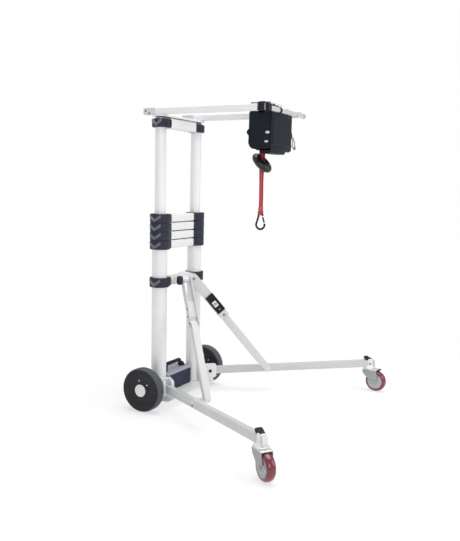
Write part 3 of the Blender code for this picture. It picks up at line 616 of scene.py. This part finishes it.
def leg(label, side):
    """The leg's caster socket, black end plug, bolts and pale cap, on the CAD tube."""
    place, length = leg_axes(label)
    refine(f"leg_{label}", "shaded_leg_paint", 0.0012)
    swivel = pivot(f"caster_{label}_swivel")
    body = f"leg_{label}"

    builder = bmesh.new()
    housing = [(0, 0.164), (0.0125, 0.164), (0.016, 0.1615), (0.0172, 0.156), (0.0178, 0.1345),
               (0.019, 0.13), (0.0235, 0.1245), (0.028, 0.1215), (0.0284, 0.1193), (0.007, 0.1193),
               (0.007, 0.153), (0, 0.153)]
    lathe(builder, housing, at(swivel.x, swivel.y, 0))
    block(builder, (length + 0.0175, -0.0118, -0.015), (length + 0.0262, 0.0118, 0.017), place,
          0.003, 0.001)
    piece(f"caster_socket_{label}", builder, body, "plate")

    builder = bmesh.new()
    low = 0.0178
    knob = [(length - 0.018, low), (length + 0.012, low), (length + 0.012, low + 0.006),
            (length + 0.002, low + 0.01), (length - 0.006, low + 0.018), (length - 0.024, low + 0.019),
            (length - 0.03, low + 0.009)]
    prism(builder, rounded(knob, 0.003), -0.0112, 0.0112, place, 0.002)
    for index in range(3):
        x = length - 0.023 + index * 0.0058
        block(builder, (x, -0.0119, low + 0.003), (x + 0.0024, 0.0119, low + 0.0196), place, 0.0008, 0.0005)
    piece(f"leg_plug_{label}", builder, body, "black")

    builder = bmesh.new()
    dome_bolt(builder, place @ at(0.291, side * 0.0125, -0.0085) @ turn(-90 * side, "X"), 0.0046, 0.0022)
    screw = at(swivel.x, swivel.y, 0.14) @ turn(-62, "Z") @ at(0.0168) @ turn(90, "Y")
    bolt(builder, screw, 0.0042, 0.003, washer=False)
    piece(f"leg_bolts_{label}", builder, body, "fastener")

    builder = bmesh.new()
    start, stop = sorted((side * 0.0107, side * 0.0135))
    block(builder, (0.285, start, 0.0005), (0.297, stop, 0.011), place, 0.003, 0.0006)
    piece(f"leg_cap_{label}", builder, body, "button")


def fork_cheek():
    """The outline of a fork cheek, broad at the crown and round at the axle."""
    outline = [(-0.026, 0.11), (-0.0285, 0.101), (-0.022, 0.086), (0.004, 0.064), (0.022, 0.0505)]
    outline += arc(CASTER_AXLE, 0.0135, 215, 345, 8)
    return outline + [(0.0515, 0.08), (0.046, 0.101), (0.045, 0.11)]


def caster_places(label):
    """A place on the floor under the kingpin, and one on the axle with Z along it."""
    axis = JOINTS[f"caster_{label}_spin"]["axis"]
    swivel = pivot(f"caster_{label}_swivel")
    place = at(swivel.x, swivel.y, 0) @ turn(degrees(atan2(-axis[0], axis[1])), "Z")
    return place, place @ at(CASTER_AXLE[0], 0, CASTER_AXLE[1]) @ turn(-90, "X")


def caster_fork(label):
    """A zinc fork with its kingpin and axle, under a crown in paler zinc, painted highlight."""
    place, spin = caster_places(label)
    body = f"caster_fork_{label}"
    cheek = CASTER_HALF_WIDTH + 0.005

    builder = bmesh.new()
    lathe(builder, [(0, 0.15), (0.006, 0.15), (0.006, 0.1188), (0.0275, 0.1188), (0.0298, 0.1174),
                    (0.0304, 0.1152), (0.0296, 0.1132), (0.0262, 0.1124), (0.0262, 0.11),
                    (0, 0.11)], place)
    for end in (-1, 1):
        start, stop = sorted((end * (cheek - 0.0025), end * cheek))
        prism(builder, rounded(fork_cheek(), 0.004, 3), start, stop, place, 0.0007)
        head = place @ at(CASTER_AXLE[0], end * cheek, CASTER_AXLE[1]) @ turn(-90 * end, "X")
        bolt(builder, head, 0.0065, 0.0035)
    lathe(builder, [(0, cheek), (0.004, cheek), (0.004, -cheek), (0, -cheek)], spin, 24)
    piece(f"fork_{label}", builder, body, "zinc", f"caster_fork_{label}")

    # The crown in the paler zinc: painted highlight on its top.
    builder = bmesh.new()
    top = [(-0.0262, 0.1085), (0.0452, 0.1085), (0.0452, 0.1112), (0.0425, 0.113), (-0.0235, 0.113),
           (-0.0262, 0.1112)]
    prism(builder, top, -cheek - 0.0002, cheek + 0.0002, place, 0.0007)
    lathe(builder, [(0.0065, 0.1192), (0.0278, 0.1192), (0.0303, 0.1176), (0.0308, 0.1152), (0.03, 0.113),
                    (0.0262, 0.1124), (0.0065, 0.1124)], place)
    piece(f"fork_crown_{label}", builder, body, "zinc_top")

    if label == "far":
        builder = bmesh.new()
        tab = [(0.044, 0.1105), (0.06, 0.1085), (0.0585, 0.115), (0.055, 0.117), (0.05, 0.113)]
        prism(builder, rounded(tab, 0.0015, 3), -0.015, 0.015, place, 0.001)
        piece("fork_tab", builder, body, "caster_tab")


def caster_wheel(label):
    """A glossy tyre on a ribbed hub."""
    wheel = f"caster_wheel_{label}"
    spin = caster_places(label)[1]
    half = CASTER_HALF_WIDTH
    builder = bmesh.new()
    face = [(0.0375, half - 0.0015), (0.04, half - 0.0002), (0.0445, half - 0.001),
            (0.0485, half - 0.004), (0.0512, half - 0.0085), (0.0525, half - 0.013), (0.053, 0.001)]
    lathe(builder, mirrored(face), spin, 96)
    piece(f"caster_tyre_{label}", builder, wheel, "polyurethane", wheel)

    builder = bmesh.new()
    face = [(0.0044, half + 0.0015), (0.011, half + 0.0015), (0.013, half - 0.0005),
            (0.015, half - 0.005), (0.032, half - 0.005), (0.0345, half - 0.0012),
            (0.0372, half - 0.0006), (0.0374, half - 0.002)]
    lathe(builder, mirrored(face), spin, 96)
    deep = half - 0.0025
    rib = [(0.0128, -deep), (0.0345, -deep), (0.0345, deep), (0.0128, deep)]
    for index in range(8):
        prism(builder, rib, -0.0011, 0.0011, spin @ turn(45 * index, "Z"), 0.0004)
    piece(f"caster_hub_{label}", builder, wheel, "caster_hub")


# ---------------------------------------------------------------- base, brackets and braces


def base():
    """The tray, and a plate with a ring and two bolt heads at each leg's hinge."""
    refine("base_tray", "plate", 0.001)
    refine("leg_bracket_far", "plate", 0.0008)
    for label, side in SIDES.items():
        hinge = pivot(f"leg_{label}_fold")
        axis = Vector(JOINTS[f"leg_{label}_fold"]["axis"])
        heading = at(hinge) @ turn(degrees(atan2(side * abs(axis.x), abs(axis.y))), "Z")
        inward = -side
        foot = -0.034 if label == "far" else -0.02
        shape = [(-0.052, foot), (0.024, foot), (0.032, foot + 0.008), (0.032, 0.03), (0.024, 0.04),
                 (-0.052, 0.04)]
        cheeks = [sorted((inward * 0.0237, inward * 0.0262))]
        hidden = []
        if label == "near":
            hidden = ["leg_bracket_near"]
            cheeks += [(0.0135, 0.0237), (-0.0237, -0.0135)]
        builder = bmesh.new()
        for start, stop in cheeks:
            prism(builder, rounded(shape, 0.004, 3), start, stop, heading, 0.0008)
        if label == "near":
            block(builder, (-0.05, -0.0237, foot), (-0.027, 0.0237, 0.039), heading, 0.003, 0.0008)
        ring = [(0.0135, 0.0012), (0.015, 0.0004), (0.015, 0), (0.0095, 0), (0.0095, 0.0012)]
        lathe(builder, ring, heading @ at(0, inward * 0.0262, 0) @ turn(-90 * inward, "X"), 40)
        piece(f"bracket_plate_{label}", builder, "frame", "plate", *hidden)
        builder = bmesh.new()
        for end in (-1, 1):
            dome_bolt(builder, heading @ at(0, end * 0.0268, 0) @ turn(-90 * end, "X"), 0.0085, 0.004)
        # The near bolts take the white plate finish where the far ones are black: painted highlight for the strong
        # light on the near bracket.
        piece(f"pivot_bolt_{label}", builder, "frame", "fastener" if label == "far" else "plate")


def link_place(start, end, axis):
    """A place at the start with X toward the end, and the distance between them."""
    along = (end - start).normalized()
    place = Matrix((along, -axis, along.cross(-axis))).transposed().to_4x4()
    place.translation = start
    return place, (end - start).length


def upper_link(label):
    """Two cheeks with a sunk web between them, cut short at both pins."""
    hub = pivot(f"brace_upper_{label}_pitch")
    knee = pivot(f"brace_knee_{label}_fold")
    axis = Vector(JOINTS[f"brace_upper_{label}_pitch"]["axis"])
    place, length = link_place(hub, knee, axis)
    builder = bmesh.new()
    deep = 0.0222
    cheek = [(-0.013, -deep), (length + 0.013, -deep), (length + 0.013, deep), (-0.013, deep)]
    for start in (-0.02, 0.017):
        prism(builder, rounded(cheek, 0.007, 4), start, start + 0.003, place, 0.0007)
    open_to = 0.52 * length if label == "near" else 0.023
    block(builder, (open_to, -0.0172, 0.0085), (length - 0.027, 0.0172, 0.0115), place, 0.001, 0.0004)
    for x in (0.0, length):
        pin = [(0, 0.0225), (0.004, 0.0225), (0.004, -0.0225), (0, -0.0225)]
        lathe(builder, pin, place @ at(x) @ turn(-90, "X"), 24)
    piece(f"upper_link_{label}", builder, f"brace_upper_{label}", "shaded_link_paint", f"brace_upper_{label}")
    builder = bmesh.new()
    heads = [(0.0, 0.0, 0.0062), (length, 0.0, 0.0062)]
    if label == "near":
        heads += [(0.165, 0.008, 0.0042), (0.195, -0.008, 0.0042)]
    for x, z, radius in heads:
        for end in (-1, 1):
            dome_bolt(builder, place @ at(x, end * 0.0198, z) @ turn(-90 * end, "X"), radius, 0.0034)
    piece(f"link_bolts_{label}", builder, f"brace_upper_{label}", "fastener")
    return place, axis


def lower_link(label, side):
    """A bar, round at the knee and slimmer at its foot, which sits beside the boss on the leg."""
    knee = pivot(f"brace_knee_{label}_fold")
    axis = Vector(JOINTS[f"brace_upper_{label}_pitch"]["axis"])
    foot_x = MAST_X + LINK_FOOT[0]
    foot = Vector((foot_x, knee.y + side * (foot_x - knee.x) * abs(axis.x / axis.y), LINK_FOOT[1]))
    place, length = link_place(knee, foot, axis)
    above, below = 0.016, 0.02
    shape = arc((0, 0), 0.013, 110, 250, 8)
    shape += [(0.014, -below), (length - 0.06, -below), (length - 0.035, -above),
              (length + 0.0118, -above), (length + 0.0118, above), (0.014, above)]
    builder = bmesh.new()
    prism(builder, shape, -0.0149, 0.0149, place, edge=0.0018)
    body = f"brace_lower_{label}"
    piece(f"lower_link_{label}", builder, body, "shaded_link_paint", body)
    builder = bmesh.new()
    for end in (-1, 1):
        dome_bolt(builder, place @ at(length, end * 0.0148, 0) @ turn(-90 * end, "X"), 0.006, 0.002)
    piece(f"foot_bolts_{label}", builder, body, "plate")


def lock(place, axis):
    """The release on the far link: a white button with a grey ring, and a small pale spot below it."""
    refine("lock_housing", "lock", 0.0015)
    refine("lock_button", "button", 0.0008)
    builder = bmesh.new()
    face = middle("lock_button") + axis * 0.0026
    ring = [(0.0072, 0.0006), (0.0075, 0.0), (0.004, 0.0), (0.004, 0.0006)]
    lathe(builder, ring, facing(face, axis), 32)
    lathe(builder, [(0, 0.0006), (0.0022, 0.0006), (0.0024, 0), (0, 0)], facing(face, axis), 24)
    piece("button_mark", builder, "lock_button", "button_mark")
    builder = bmesh.new()
    lamp = facing(place @ Vector((0.196, -0.0264, 0)), axis)
    lathe(builder, [(0, 0.001), (0.0026, 0.0008), (0.0032, 0), (0, 0)], lamp, 24)
    piece("lock_lamp", builder, "brace_upper_far", "winch_detail")


def hub_knob():
    """An upright knob beside the brace hub, on a short bent stem."""
    y = -0.083
    builder = bmesh.new()
    profile = [(0, 0.0205), (0.008, 0.02), (0.0128, 0.0165), (0.0145, 0.009), (0.0145, -0.009),
               (0.0125, -0.0165), (0.008, -0.02), (0, -0.0205)]
    lathe(builder, profile, at(from_mast(0.068, y, 0.587)), 48)
    piece("hub_knob", builder, "frame", "collar")
    builder = bmesh.new()
    stem = [from_mast(x, y, z) for x, z in ((0.029, 0.578), (0.042, 0.579), (0.056, 0.585))]
    sweep(builder, stem, 0.0062, 16)
    piece("hub_knob_stem", builder, "frame", "plate")


def braces():
    refine("brace_hub", "plate", 0.001)
    hub_knob()
    for label, side in SIDES.items():
        lower_link(label, side)
        place, axis = upper_link(label)
        if label == "far":
            lock(place, axis)


# ---------------------------------------------------------------- battery


def battery():
    """A smooth case under a lid painted paler for the light on its top, with two lugs for the folding handle."""
    low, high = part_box("battery_box")
    hinge = pivot("battery_handle_fold")
    lid = hinge.z - 0.0078
    builder = bmesh.new()
    block(builder, (low.x + 0.003, low.y + 0.004, low.z), (high.x - 0.003, high.y - 0.004, lid - 0.012),
          corner=0.006, edge=0.004)
    piece("battery_case", builder, "frame", "battery", "battery_box")
    # The lid in the paler battery finish: painted light on its top.
    builder = bmesh.new()
    block(builder, (low.x, low.y, lid - 0.0124), (high.x, high.y, lid), corner=0.004, edge=0.003)
    piece("battery_lid", builder, "frame", "battery_lid_lit")
    builder = bmesh.new()
    for end in (-1, 1):
        start, stop = sorted((hinge.y + end * 0.069, hinge.y + end * 0.083))
        lug = [(hinge.x - 0.018, lid - 0.002), (hinge.x + 0.018, lid - 0.002)]
        prism(builder, lug + arc(hinge.xz, 0.0115, 0, 180, 9), start, stop, edge=0.0012)
    piece("handle_lugs", builder, "frame", "black")
    builder = bmesh.new()
    half = 0.0595
    rise = 0.0245
    bend = 0.01
    path = [hinge + Vector((0, -half, 0))]
    path += [hinge + Vector((0, y, z)) for y, z in arc((bend - half, rise - bend), bend, 180, 90, 6)]
    path += [hinge + Vector((0, y, z)) for y, z in arc((half - bend, rise - bend), bend, 90, 0, 6)]
    path.append(hinge + Vector((0, half, 0)))
    sweep(builder, path, 0.0088, 16)
    for end in (-1, 1):
        boss = [(0, 0.009), (0.0088, 0.009), (0.0095, 0.008), (0.0095, 0.0), (0, 0.0)]
        lathe(builder, boss, facing(hinge + Vector((0, end * half, 0)), (0, end, 0)), 24)
    piece("handle_grip", builder, "battery_handle", "black", "battery_handle")


# ---------------------------------------------------------------- boom


def boom():
    """Two beams with a bracket at the back, a black sleeve on the near one, and the cross tube."""
    sleeve = 0.049
    for label, side in SIDES.items():
        node = f"boom_beam_{label}"
        refine(node, "paint", 0.0015)
        low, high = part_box(node)
        if label == "near":
            builder = bmesh.new()
            block(builder, (high.x - sleeve, low.y - 0.003, low.z - 0.0012),
                  (high.x + 0.003, high.y + 0.0012, high.z + 0.0012), corner=0.003, edge=0.0015)
            piece("beam_sleeve", builder, "top_stage", "black")
        builder = bmesh.new()
        block(builder, (low.x - 0.002, low.y - 0.0015, low.z - 0.0015),
              (low.x + 0.062, high.y + 0.0015, high.z + 0.0015), corner=0.004, edge=0.0012)
        piece(f"beam_bracket_{label}", builder, "top_stage", "shaded_leg_paint")
        builder = bmesh.new()
        face = (high.y if side > 0 else low.y) + side * 0.001
        for x, z in ((low.x + 0.01, 0.002), (low.x + 0.03, -0.009)):
            dome_bolt(builder, at(x, face, middle(node).z + z) @ turn(-90 * side, "X"), 0.0042, 0.002)
        piece(f"beam_bolts_{label}", builder, "top_stage", "fastener")
    refine("boom_saddle", "plate", 0.0008)
    refine("cross_tube", "steel", 0.0006)


# ---------------------------------------------------------------- winch and hook


def hanger():
    """The dark bracket round the cross tube, with its pale top plate and lip."""
    low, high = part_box("winch_hanger")
    tube = middle("cross_tube")
    foot = high.z - 0.0475
    builder = bmesh.new()
    side = [(MAST_X + 0.462, foot), (MAST_X + 0.538, foot)] + arc(tube.xz, 0.0138, -30, 90, 8)
    side += [(MAST_X + 0.504, 1.376), (MAST_X + 0.5, high.z - 0.003), (MAST_X + 0.47, high.z - 0.003)]
    prism(builder, side, MID_Y - 0.04, MID_Y - 0.024, edge=0.0012)
    block(builder, (low.x, low.y, high.z - 0.004), (MAST_X + 0.5, high.y, high.z),
          corner=0.0015, edge=0.0005)
    for end in ((0.496, 0.024, 1.386), (0.514, -0.024, 1.374)):
        block(builder, from_mast(0.462, -0.104, 1.34), from_mast(*end), corner=0.004, edge=0.0015)
    piece("hanger_body", builder, "top_stage", "dark_steel", "winch_hanger")
    builder = bmesh.new()
    spare = 0.0006
    block(builder, (low.x - spare, low.y - spare, high.z - 0.0046),
          (MAST_X + 0.5006, high.y + spare, high.z + spare), corner=0.002, edge=0.0008)
    piece("hanger_top", builder, "top_stage", "plate_steel")
    builder = bmesh.new()
    block(builder, from_mast(0.497, -0.06, 1.379), from_mast(0.501, 0.06, 1.3894),
          corner=0.001, edge=0.0005)
    piece("hanger_lip", builder, "top_stage", "paint")


def cross_tube_ends():
    """Rings, a bolt and an end cap on the cross tube, and a strip across the near beam's end."""
    tube = middle("cross_tube")
    builder = bmesh.new()
    for y, width in ((0.025, 0.006), (0.062, 0.004)):
        ring = [(0.0116, width), (0.0122, width - 0.0012), (0.0122, 0.0012), (0.0116, 0), (0.0112, 0),
                (0.0112, width)]
        lathe(builder, ring, at(tube.x, MID_Y + y, tube.z) @ turn(-90, "X"), 40)
    bolt(builder, at(tube.x, MID_Y + 0.05, tube.z + 0.0105), 0.004, 0.005)
    cap = [(0, 0.004), (0.009, 0.0036), (0.0118, 0.001), (0.0118, -0.004), (0, -0.004)]
    lathe(builder, cap, at(tube.x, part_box("cross_tube")[1].y - 0.001, tube.z) @ turn(-90, "X"), 40)
    piece("cross_tube_rings", builder, "top_stage", "steel")
    builder = bmesh.new()
    block(builder, from_mast(0.529, -0.1785, 1.341), from_mast(0.5345, -0.176, 1.368),
          corner=0.001, edge=0.0006)
    piece("beam_strip", builder, "top_stage", "plate_steel")


WINCH_X = (0.42, 0.53)        # forward of the mast
WINCH_Y = (-0.1045, 0.1045)       # from the middle
WINCH_Z = (1.188, 1.342)


def winch_case():
    """The closed case, with a lid on top and the gear slab below."""
    back, front = WINCH_X
    near, far = WINCH_Y
    foot, head = WINCH_Z
    curve = 0.026
    builder = bmesh.new()
    shape = [(back, head)] + arc((back + curve, foot + curve), curve, 180, 270, 8)
    shape += [(front, foot), (front, head)]
    prism(builder, [(MAST_X + x, z) for x, z in shape], MID_Y + near, MID_Y + far, edge=0.006)
    block(builder, from_mast(back + 0.003, near + 0.004, 1.338), from_mast(0.513, far - 0.004, 1.349),
          corner=0.003, edge=0.002)
    block(builder, from_mast(0.456, near + 0.002, 1.183), from_mast(front - 0.001, far - 0.012, 1.2),
          corner=0.005, edge=0.003)
    block(builder, from_mast(0.474, near + 0.002, 1.17), from_mast(front - 0.003, 0.043, 1.2),
          corner=0.006, edge=0.0025)
    piece("winch_case", builder, "top_stage", "winch", "winch_housing")


def winch_panels():
    """Thin raised panels on the case's front and near face, and a clip on its back and far face."""
    back, front = WINCH_X
    near, far = WINCH_Y
    builder = bmesh.new()
    clip = rounded([(-0.016, -0.002), (0.016, -0.002), (0.008, 0.005), (0.003, 0.0085), (-0.002, 0.0085),
                    (-0.008, 0.005)], 0.003)
    clip_places = (at(from_mast(back, near + 0.01, 1.259)) @ turn(-90, "Y"),
                   at(from_mast(front - 0.012, far, 1.26)) @ turn(90, "Z") @ turn(90, "Y"))
    for place in clip_places:
        prism(builder, clip, -0.01, 0.01, place, 0.001)
    block(builder, from_mast(front - 0.003, near + 0.012, 1.206),
          from_mast(front + 0.0014, far - 0.012, 1.328), corner=0.008, edge=0.001)
    block(builder, from_mast(back + 0.014, near - 0.0012, 1.204),
          from_mast(front - 0.01, near + 0.002, 1.33), corner=0.01, edge=0.001)
    piece("winch_panels", builder, "top_stage", "winch")


def winch_switches():
    """A near-black plate on the near face, painted shade for a recess, with two pale blocks in place of switches.
    """
    near = WINCH_Y[0]
    builder = bmesh.new()
    recess = rounded([(0.497, 1.212), (0.52, 1.212), (0.52, 1.262), (0.497, 1.262)], 0.006)
    wall = MID_Y + near
    prism(builder, [(MAST_X + x, z) for x, z in recess], wall - 0.0026, wall - 0.001, edge=0.0007)
    piece("switch_recess_shade", builder, "top_stage", "lock")

    builder = bmesh.new()
    for x, z, wide, tall in ((0.512, 1.257, 0.0085, 0.005), (0.508, 1.219, 0.008, 0.004)):
        block(builder, from_mast(x - wide, near - 0.0042, z - tall),
              from_mast(x + wide, near - 0.0022, z + tall), corner=0.003, edge=0.0006)
    piece("winch_details", builder, "top_stage", "winch_detail")


def pull_cord():
    """Two strands that hang in a loop from the far side, joined at a bead."""
    builder = bmesh.new()
    for shift in (0.0, 0.007):
        loop = [(0.514, 0.104, 1.262), (0.517, 0.122, 1.262), (0.52, 0.143, 1.25), (0.522, 0.157, 1.23),
                (0.521, 0.16, 1.212), (0.518, 0.148, 1.206), (0.514, 0.128, 1.218), (0.512, 0.104, 1.236)]
        sweep(builder, [from_mast(x - shift, y - shift, z + shift) for x, y, z in loop], 0.0022, 10)
    lathe(builder, [(0, 0.01), (0.005, 0.007), (0.0066, 0), (0.005, -0.006), (0, -0.008)],
          at(from_mast(0.52, 0.16, 1.205)), 20)
    piece("pull_cord", builder, "top_stage", "cable")


def strap():
    """Woven tape that stretches between the winch and the hook, wide above and narrow below."""
    low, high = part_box("lift_strap")
    rows = 120
    thick = 0.0011
    builder = bmesh.new()
    rings = []
    for index in range(rows + 1):
        share = index / rows
        z = high.z + (low.z - high.z) * share
        half = 0.0165 - 0.0065 * min(1.0, share / 0.55)
        bow = 0.0012 * sin(share * pi * 3)
        outline = rounded([(-half, -thick), (half, -thick), (half, thick), (-half, thick)], 0.0008, 2)
        rings.append([builder.verts.new((STRAP.x + x, STRAP.y + y + bow, z)) for x, y in outline])
    skin(builder, rings)
    made = new_object("strap_webbing", builder, FINISHES["webbing"])
    made.data.shade_smooth()
    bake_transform(made)
    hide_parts("lift_strap")


def stopper():
    """A fat oval disc on a slant, dished where the tape passes through it."""
    builder = bmesh.new()
    top = [(0.0165, 0.006), (0.02, 0.012), (0.027, 0.0185), (0.035, 0.0185), (0.044, 0.015),
           (0.051, 0.009), (0.054, 0.002)]
    tilt = turn(45, "Y") @ Matrix.Diagonal((1.0, 0.86, 1.0, 1.0))
    spot = middle("strap_stopper")
    lathe(builder, mirrored(top), at(spot) @ tilt, 64)
    plug = [(0, 0.0085), (0.015, 0.0075), (0.0168, 0.006)]
    lathe(builder, mirrored(plug), at(spot) @ tilt, 64)
    piece("stopper_disc", builder, "top_stage", "stopper", "strap_stopper")


def hook():
    """The snap hook, with the end of the tape doubled and sewn round its eye."""
    refine("snap_hook", "black")
    refine("hook_gate", "black")
    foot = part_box("lift_strap")[0].z
    wire = foot - 0.0088
    builder = bmesh.new()
    side = [(-0.0034, foot + 0.018), (-0.0034, foot), (-0.0074, wire + 0.004), (-0.0084, wire - 0.002)]
    side += arc((0, wire - 0.002), 0.0084, 180, 360, 9)
    side += [(0.0074, wire + 0.004), (0.0034, foot), (0.0034, foot + 0.018)]
    across = at(STRAP.x, STRAP.y, 0) @ turn(90, "Z")
    prism(builder, side, -0.0104, 0.0104, across, 0.0008)
    piece("strap_end", builder, "hook", "webbing")
    builder = bmesh.new()
    for z in (foot + 0.003, foot + 0.01, foot + 0.014):
        for end in (-1, 1):
            y = STRAP.y + end * 0.0036
            block(builder, (STRAP.x - 0.0085, y - 0.0004, z), (STRAP.x + 0.0085, y + 0.0004, z + 0.0014),
                  corner=0.0004, edge=0.0002)
    piece("strap_stitches", builder, "hook", "stitching")


# ---------------------------------------------------------------- stage, light and camera


CAMERA_TURN = 28.82
CAMERA_PITCH = 7.07
CAMERA_ROLL = 1.28
CAMERA_FROM_MAST = Vector((1.782, -2.715, 1.0275))
SENSOR_WIDTH = 36.0               # millimetres, as is the lens
LENS = 45.1165


def camera():
    """The photograph's viewing angle, turned round the mast, pitched down and slightly rolled."""
    heading, pitch, roll = (radians(angle) for angle in (CAMERA_TURN, CAMERA_PITCH, CAMERA_ROLL))
    back = Vector((sin(heading) * cos(pitch), -cos(heading) * cos(pitch), sin(pitch)))
    right = Vector((cos(heading), sin(heading), 0))
    up = back.cross(right)
    right, up = right * cos(roll) + up * sin(roll), up * cos(roll) - right * sin(roll)
    data = bpy.data.cameras.new("camera")
    data.sensor_width = SENSOR_WIDTH
    data.lens = LENS
    made = bpy.data.objects.new("camera", data)
    bpy.context.scene.collection.objects.link(made)
    place = Matrix((right, up, back)).transposed().to_4x4()
    place.translation = Vector((MAST_X, MID_Y, 0)) + CAMERA_FROM_MAST
    made.matrix_world = place
    bpy.context.scene.camera = made


def area_light(name, location, target, size, power):
    data = bpy.data.lights.new(name, "AREA")
    data.shape = "SQUARE"
    data.size = size
    data.energy = power
    made = bpy.data.objects.new(name, data)
    bpy.context.scene.collection.objects.link(made)
    made.location = location
    made.rotation_mode = "QUATERNION"
    made.rotation_quaternion = (Vector(target) - Vector(location)).to_track_quat("-Z", "Y")


def floor():
    """A pale disc of floor that runs out into plain white."""
    pale = bpy.data.materials.new("floor")
    pale.use_nodes = True
    tree = pale.node_tree
    shader = tree.nodes["Principled BSDF"]
    shader.inputs["Base Color"].default_value = (0.95, 0.95, 0.95, 1)
    shader.inputs["Roughness"].default_value = 0.9
    shader.inputs["Specular IOR Level"].default_value = 0.0
    glow = add_node(tree, "Emission", None, Color=(1, 1, 1, 1), Strength=1.0)
    spot = add_node(tree, "TexCoord").outputs["Object"]
    reach = add_node(tree, "VectorMath", {"operation": "LENGTH"}, in0=spot).outputs["Value"]
    share = ranged(tree, reach, 0.55, 1.0, 0.5, 1.9)
    both = add_node(tree, "MixShader", None, in0=share, in1=shader.outputs[0], in2=glow.outputs[0])
    tree.links.new(both.outputs[0], tree.nodes["Material Output"].inputs["Surface"])
    builder = bmesh.new()
    lathe(builder, [(0, 0), (60.0, 0), (60.0, -0.05), (0, -0.05)], at(0, 0, -0.0005), 96)
    new_object("floor", builder, pale)


def studio():
    """White all round to the camera, and a softer grey-white dome as light."""
    world = bpy.data.worlds.new("studio")
    bpy.context.scene.world = world
    world.use_nodes = True
    tree = world.node_tree
    tree.nodes.clear()
    ray = add_node(tree, "LightPath")
    seen = add_node(tree, "Background", None, Color=(1, 1, 1, 1), Strength=1.0)
    dome = add_node(tree, "Background", None, Color=(0.96, 0.98, 1.0, 1), Strength=0.52)
    both = add_node(tree, "MixShader", None, in0=ray.outputs["Is Camera Ray"], in1=dome.outputs[0],
                    in2=seen.outputs[0])
    add_node(tree, "OutputWorld", None, Surface=both.outputs[0])
    area_light("top_light", (0.2, 0.3, 3.6), (0, 0, 0), 3.0, 95)
    area_light("left_light", (-2.8, -1.6, 1.9), (0, 0, 0.7), 1.8, 5)
    area_light("right_light", (2.9, 0.4, 1.6), (0, 0, 0.7), 1.8, 22)
    area_light("front_light", (1.9, -2.9, 1.5), (0, 0, 0.6), 1.6, 26)


mast()
for side_label, side_sign in SIDES.items():
    rear_wheel(side_label, side_sign)
    leg(side_label, side_sign)
    caster_fork(side_label)
    caster_wheel(side_label)
base()
braces()
battery()
boom()
hanger()
cross_tube_ends()
winch_case()
winch_panels()
winch_switches()
pull_cord()
strap()
stopper()
hook()
floor()
studio()
camera()
bpy.context.scene.view_settings.view_transform = "Standard"
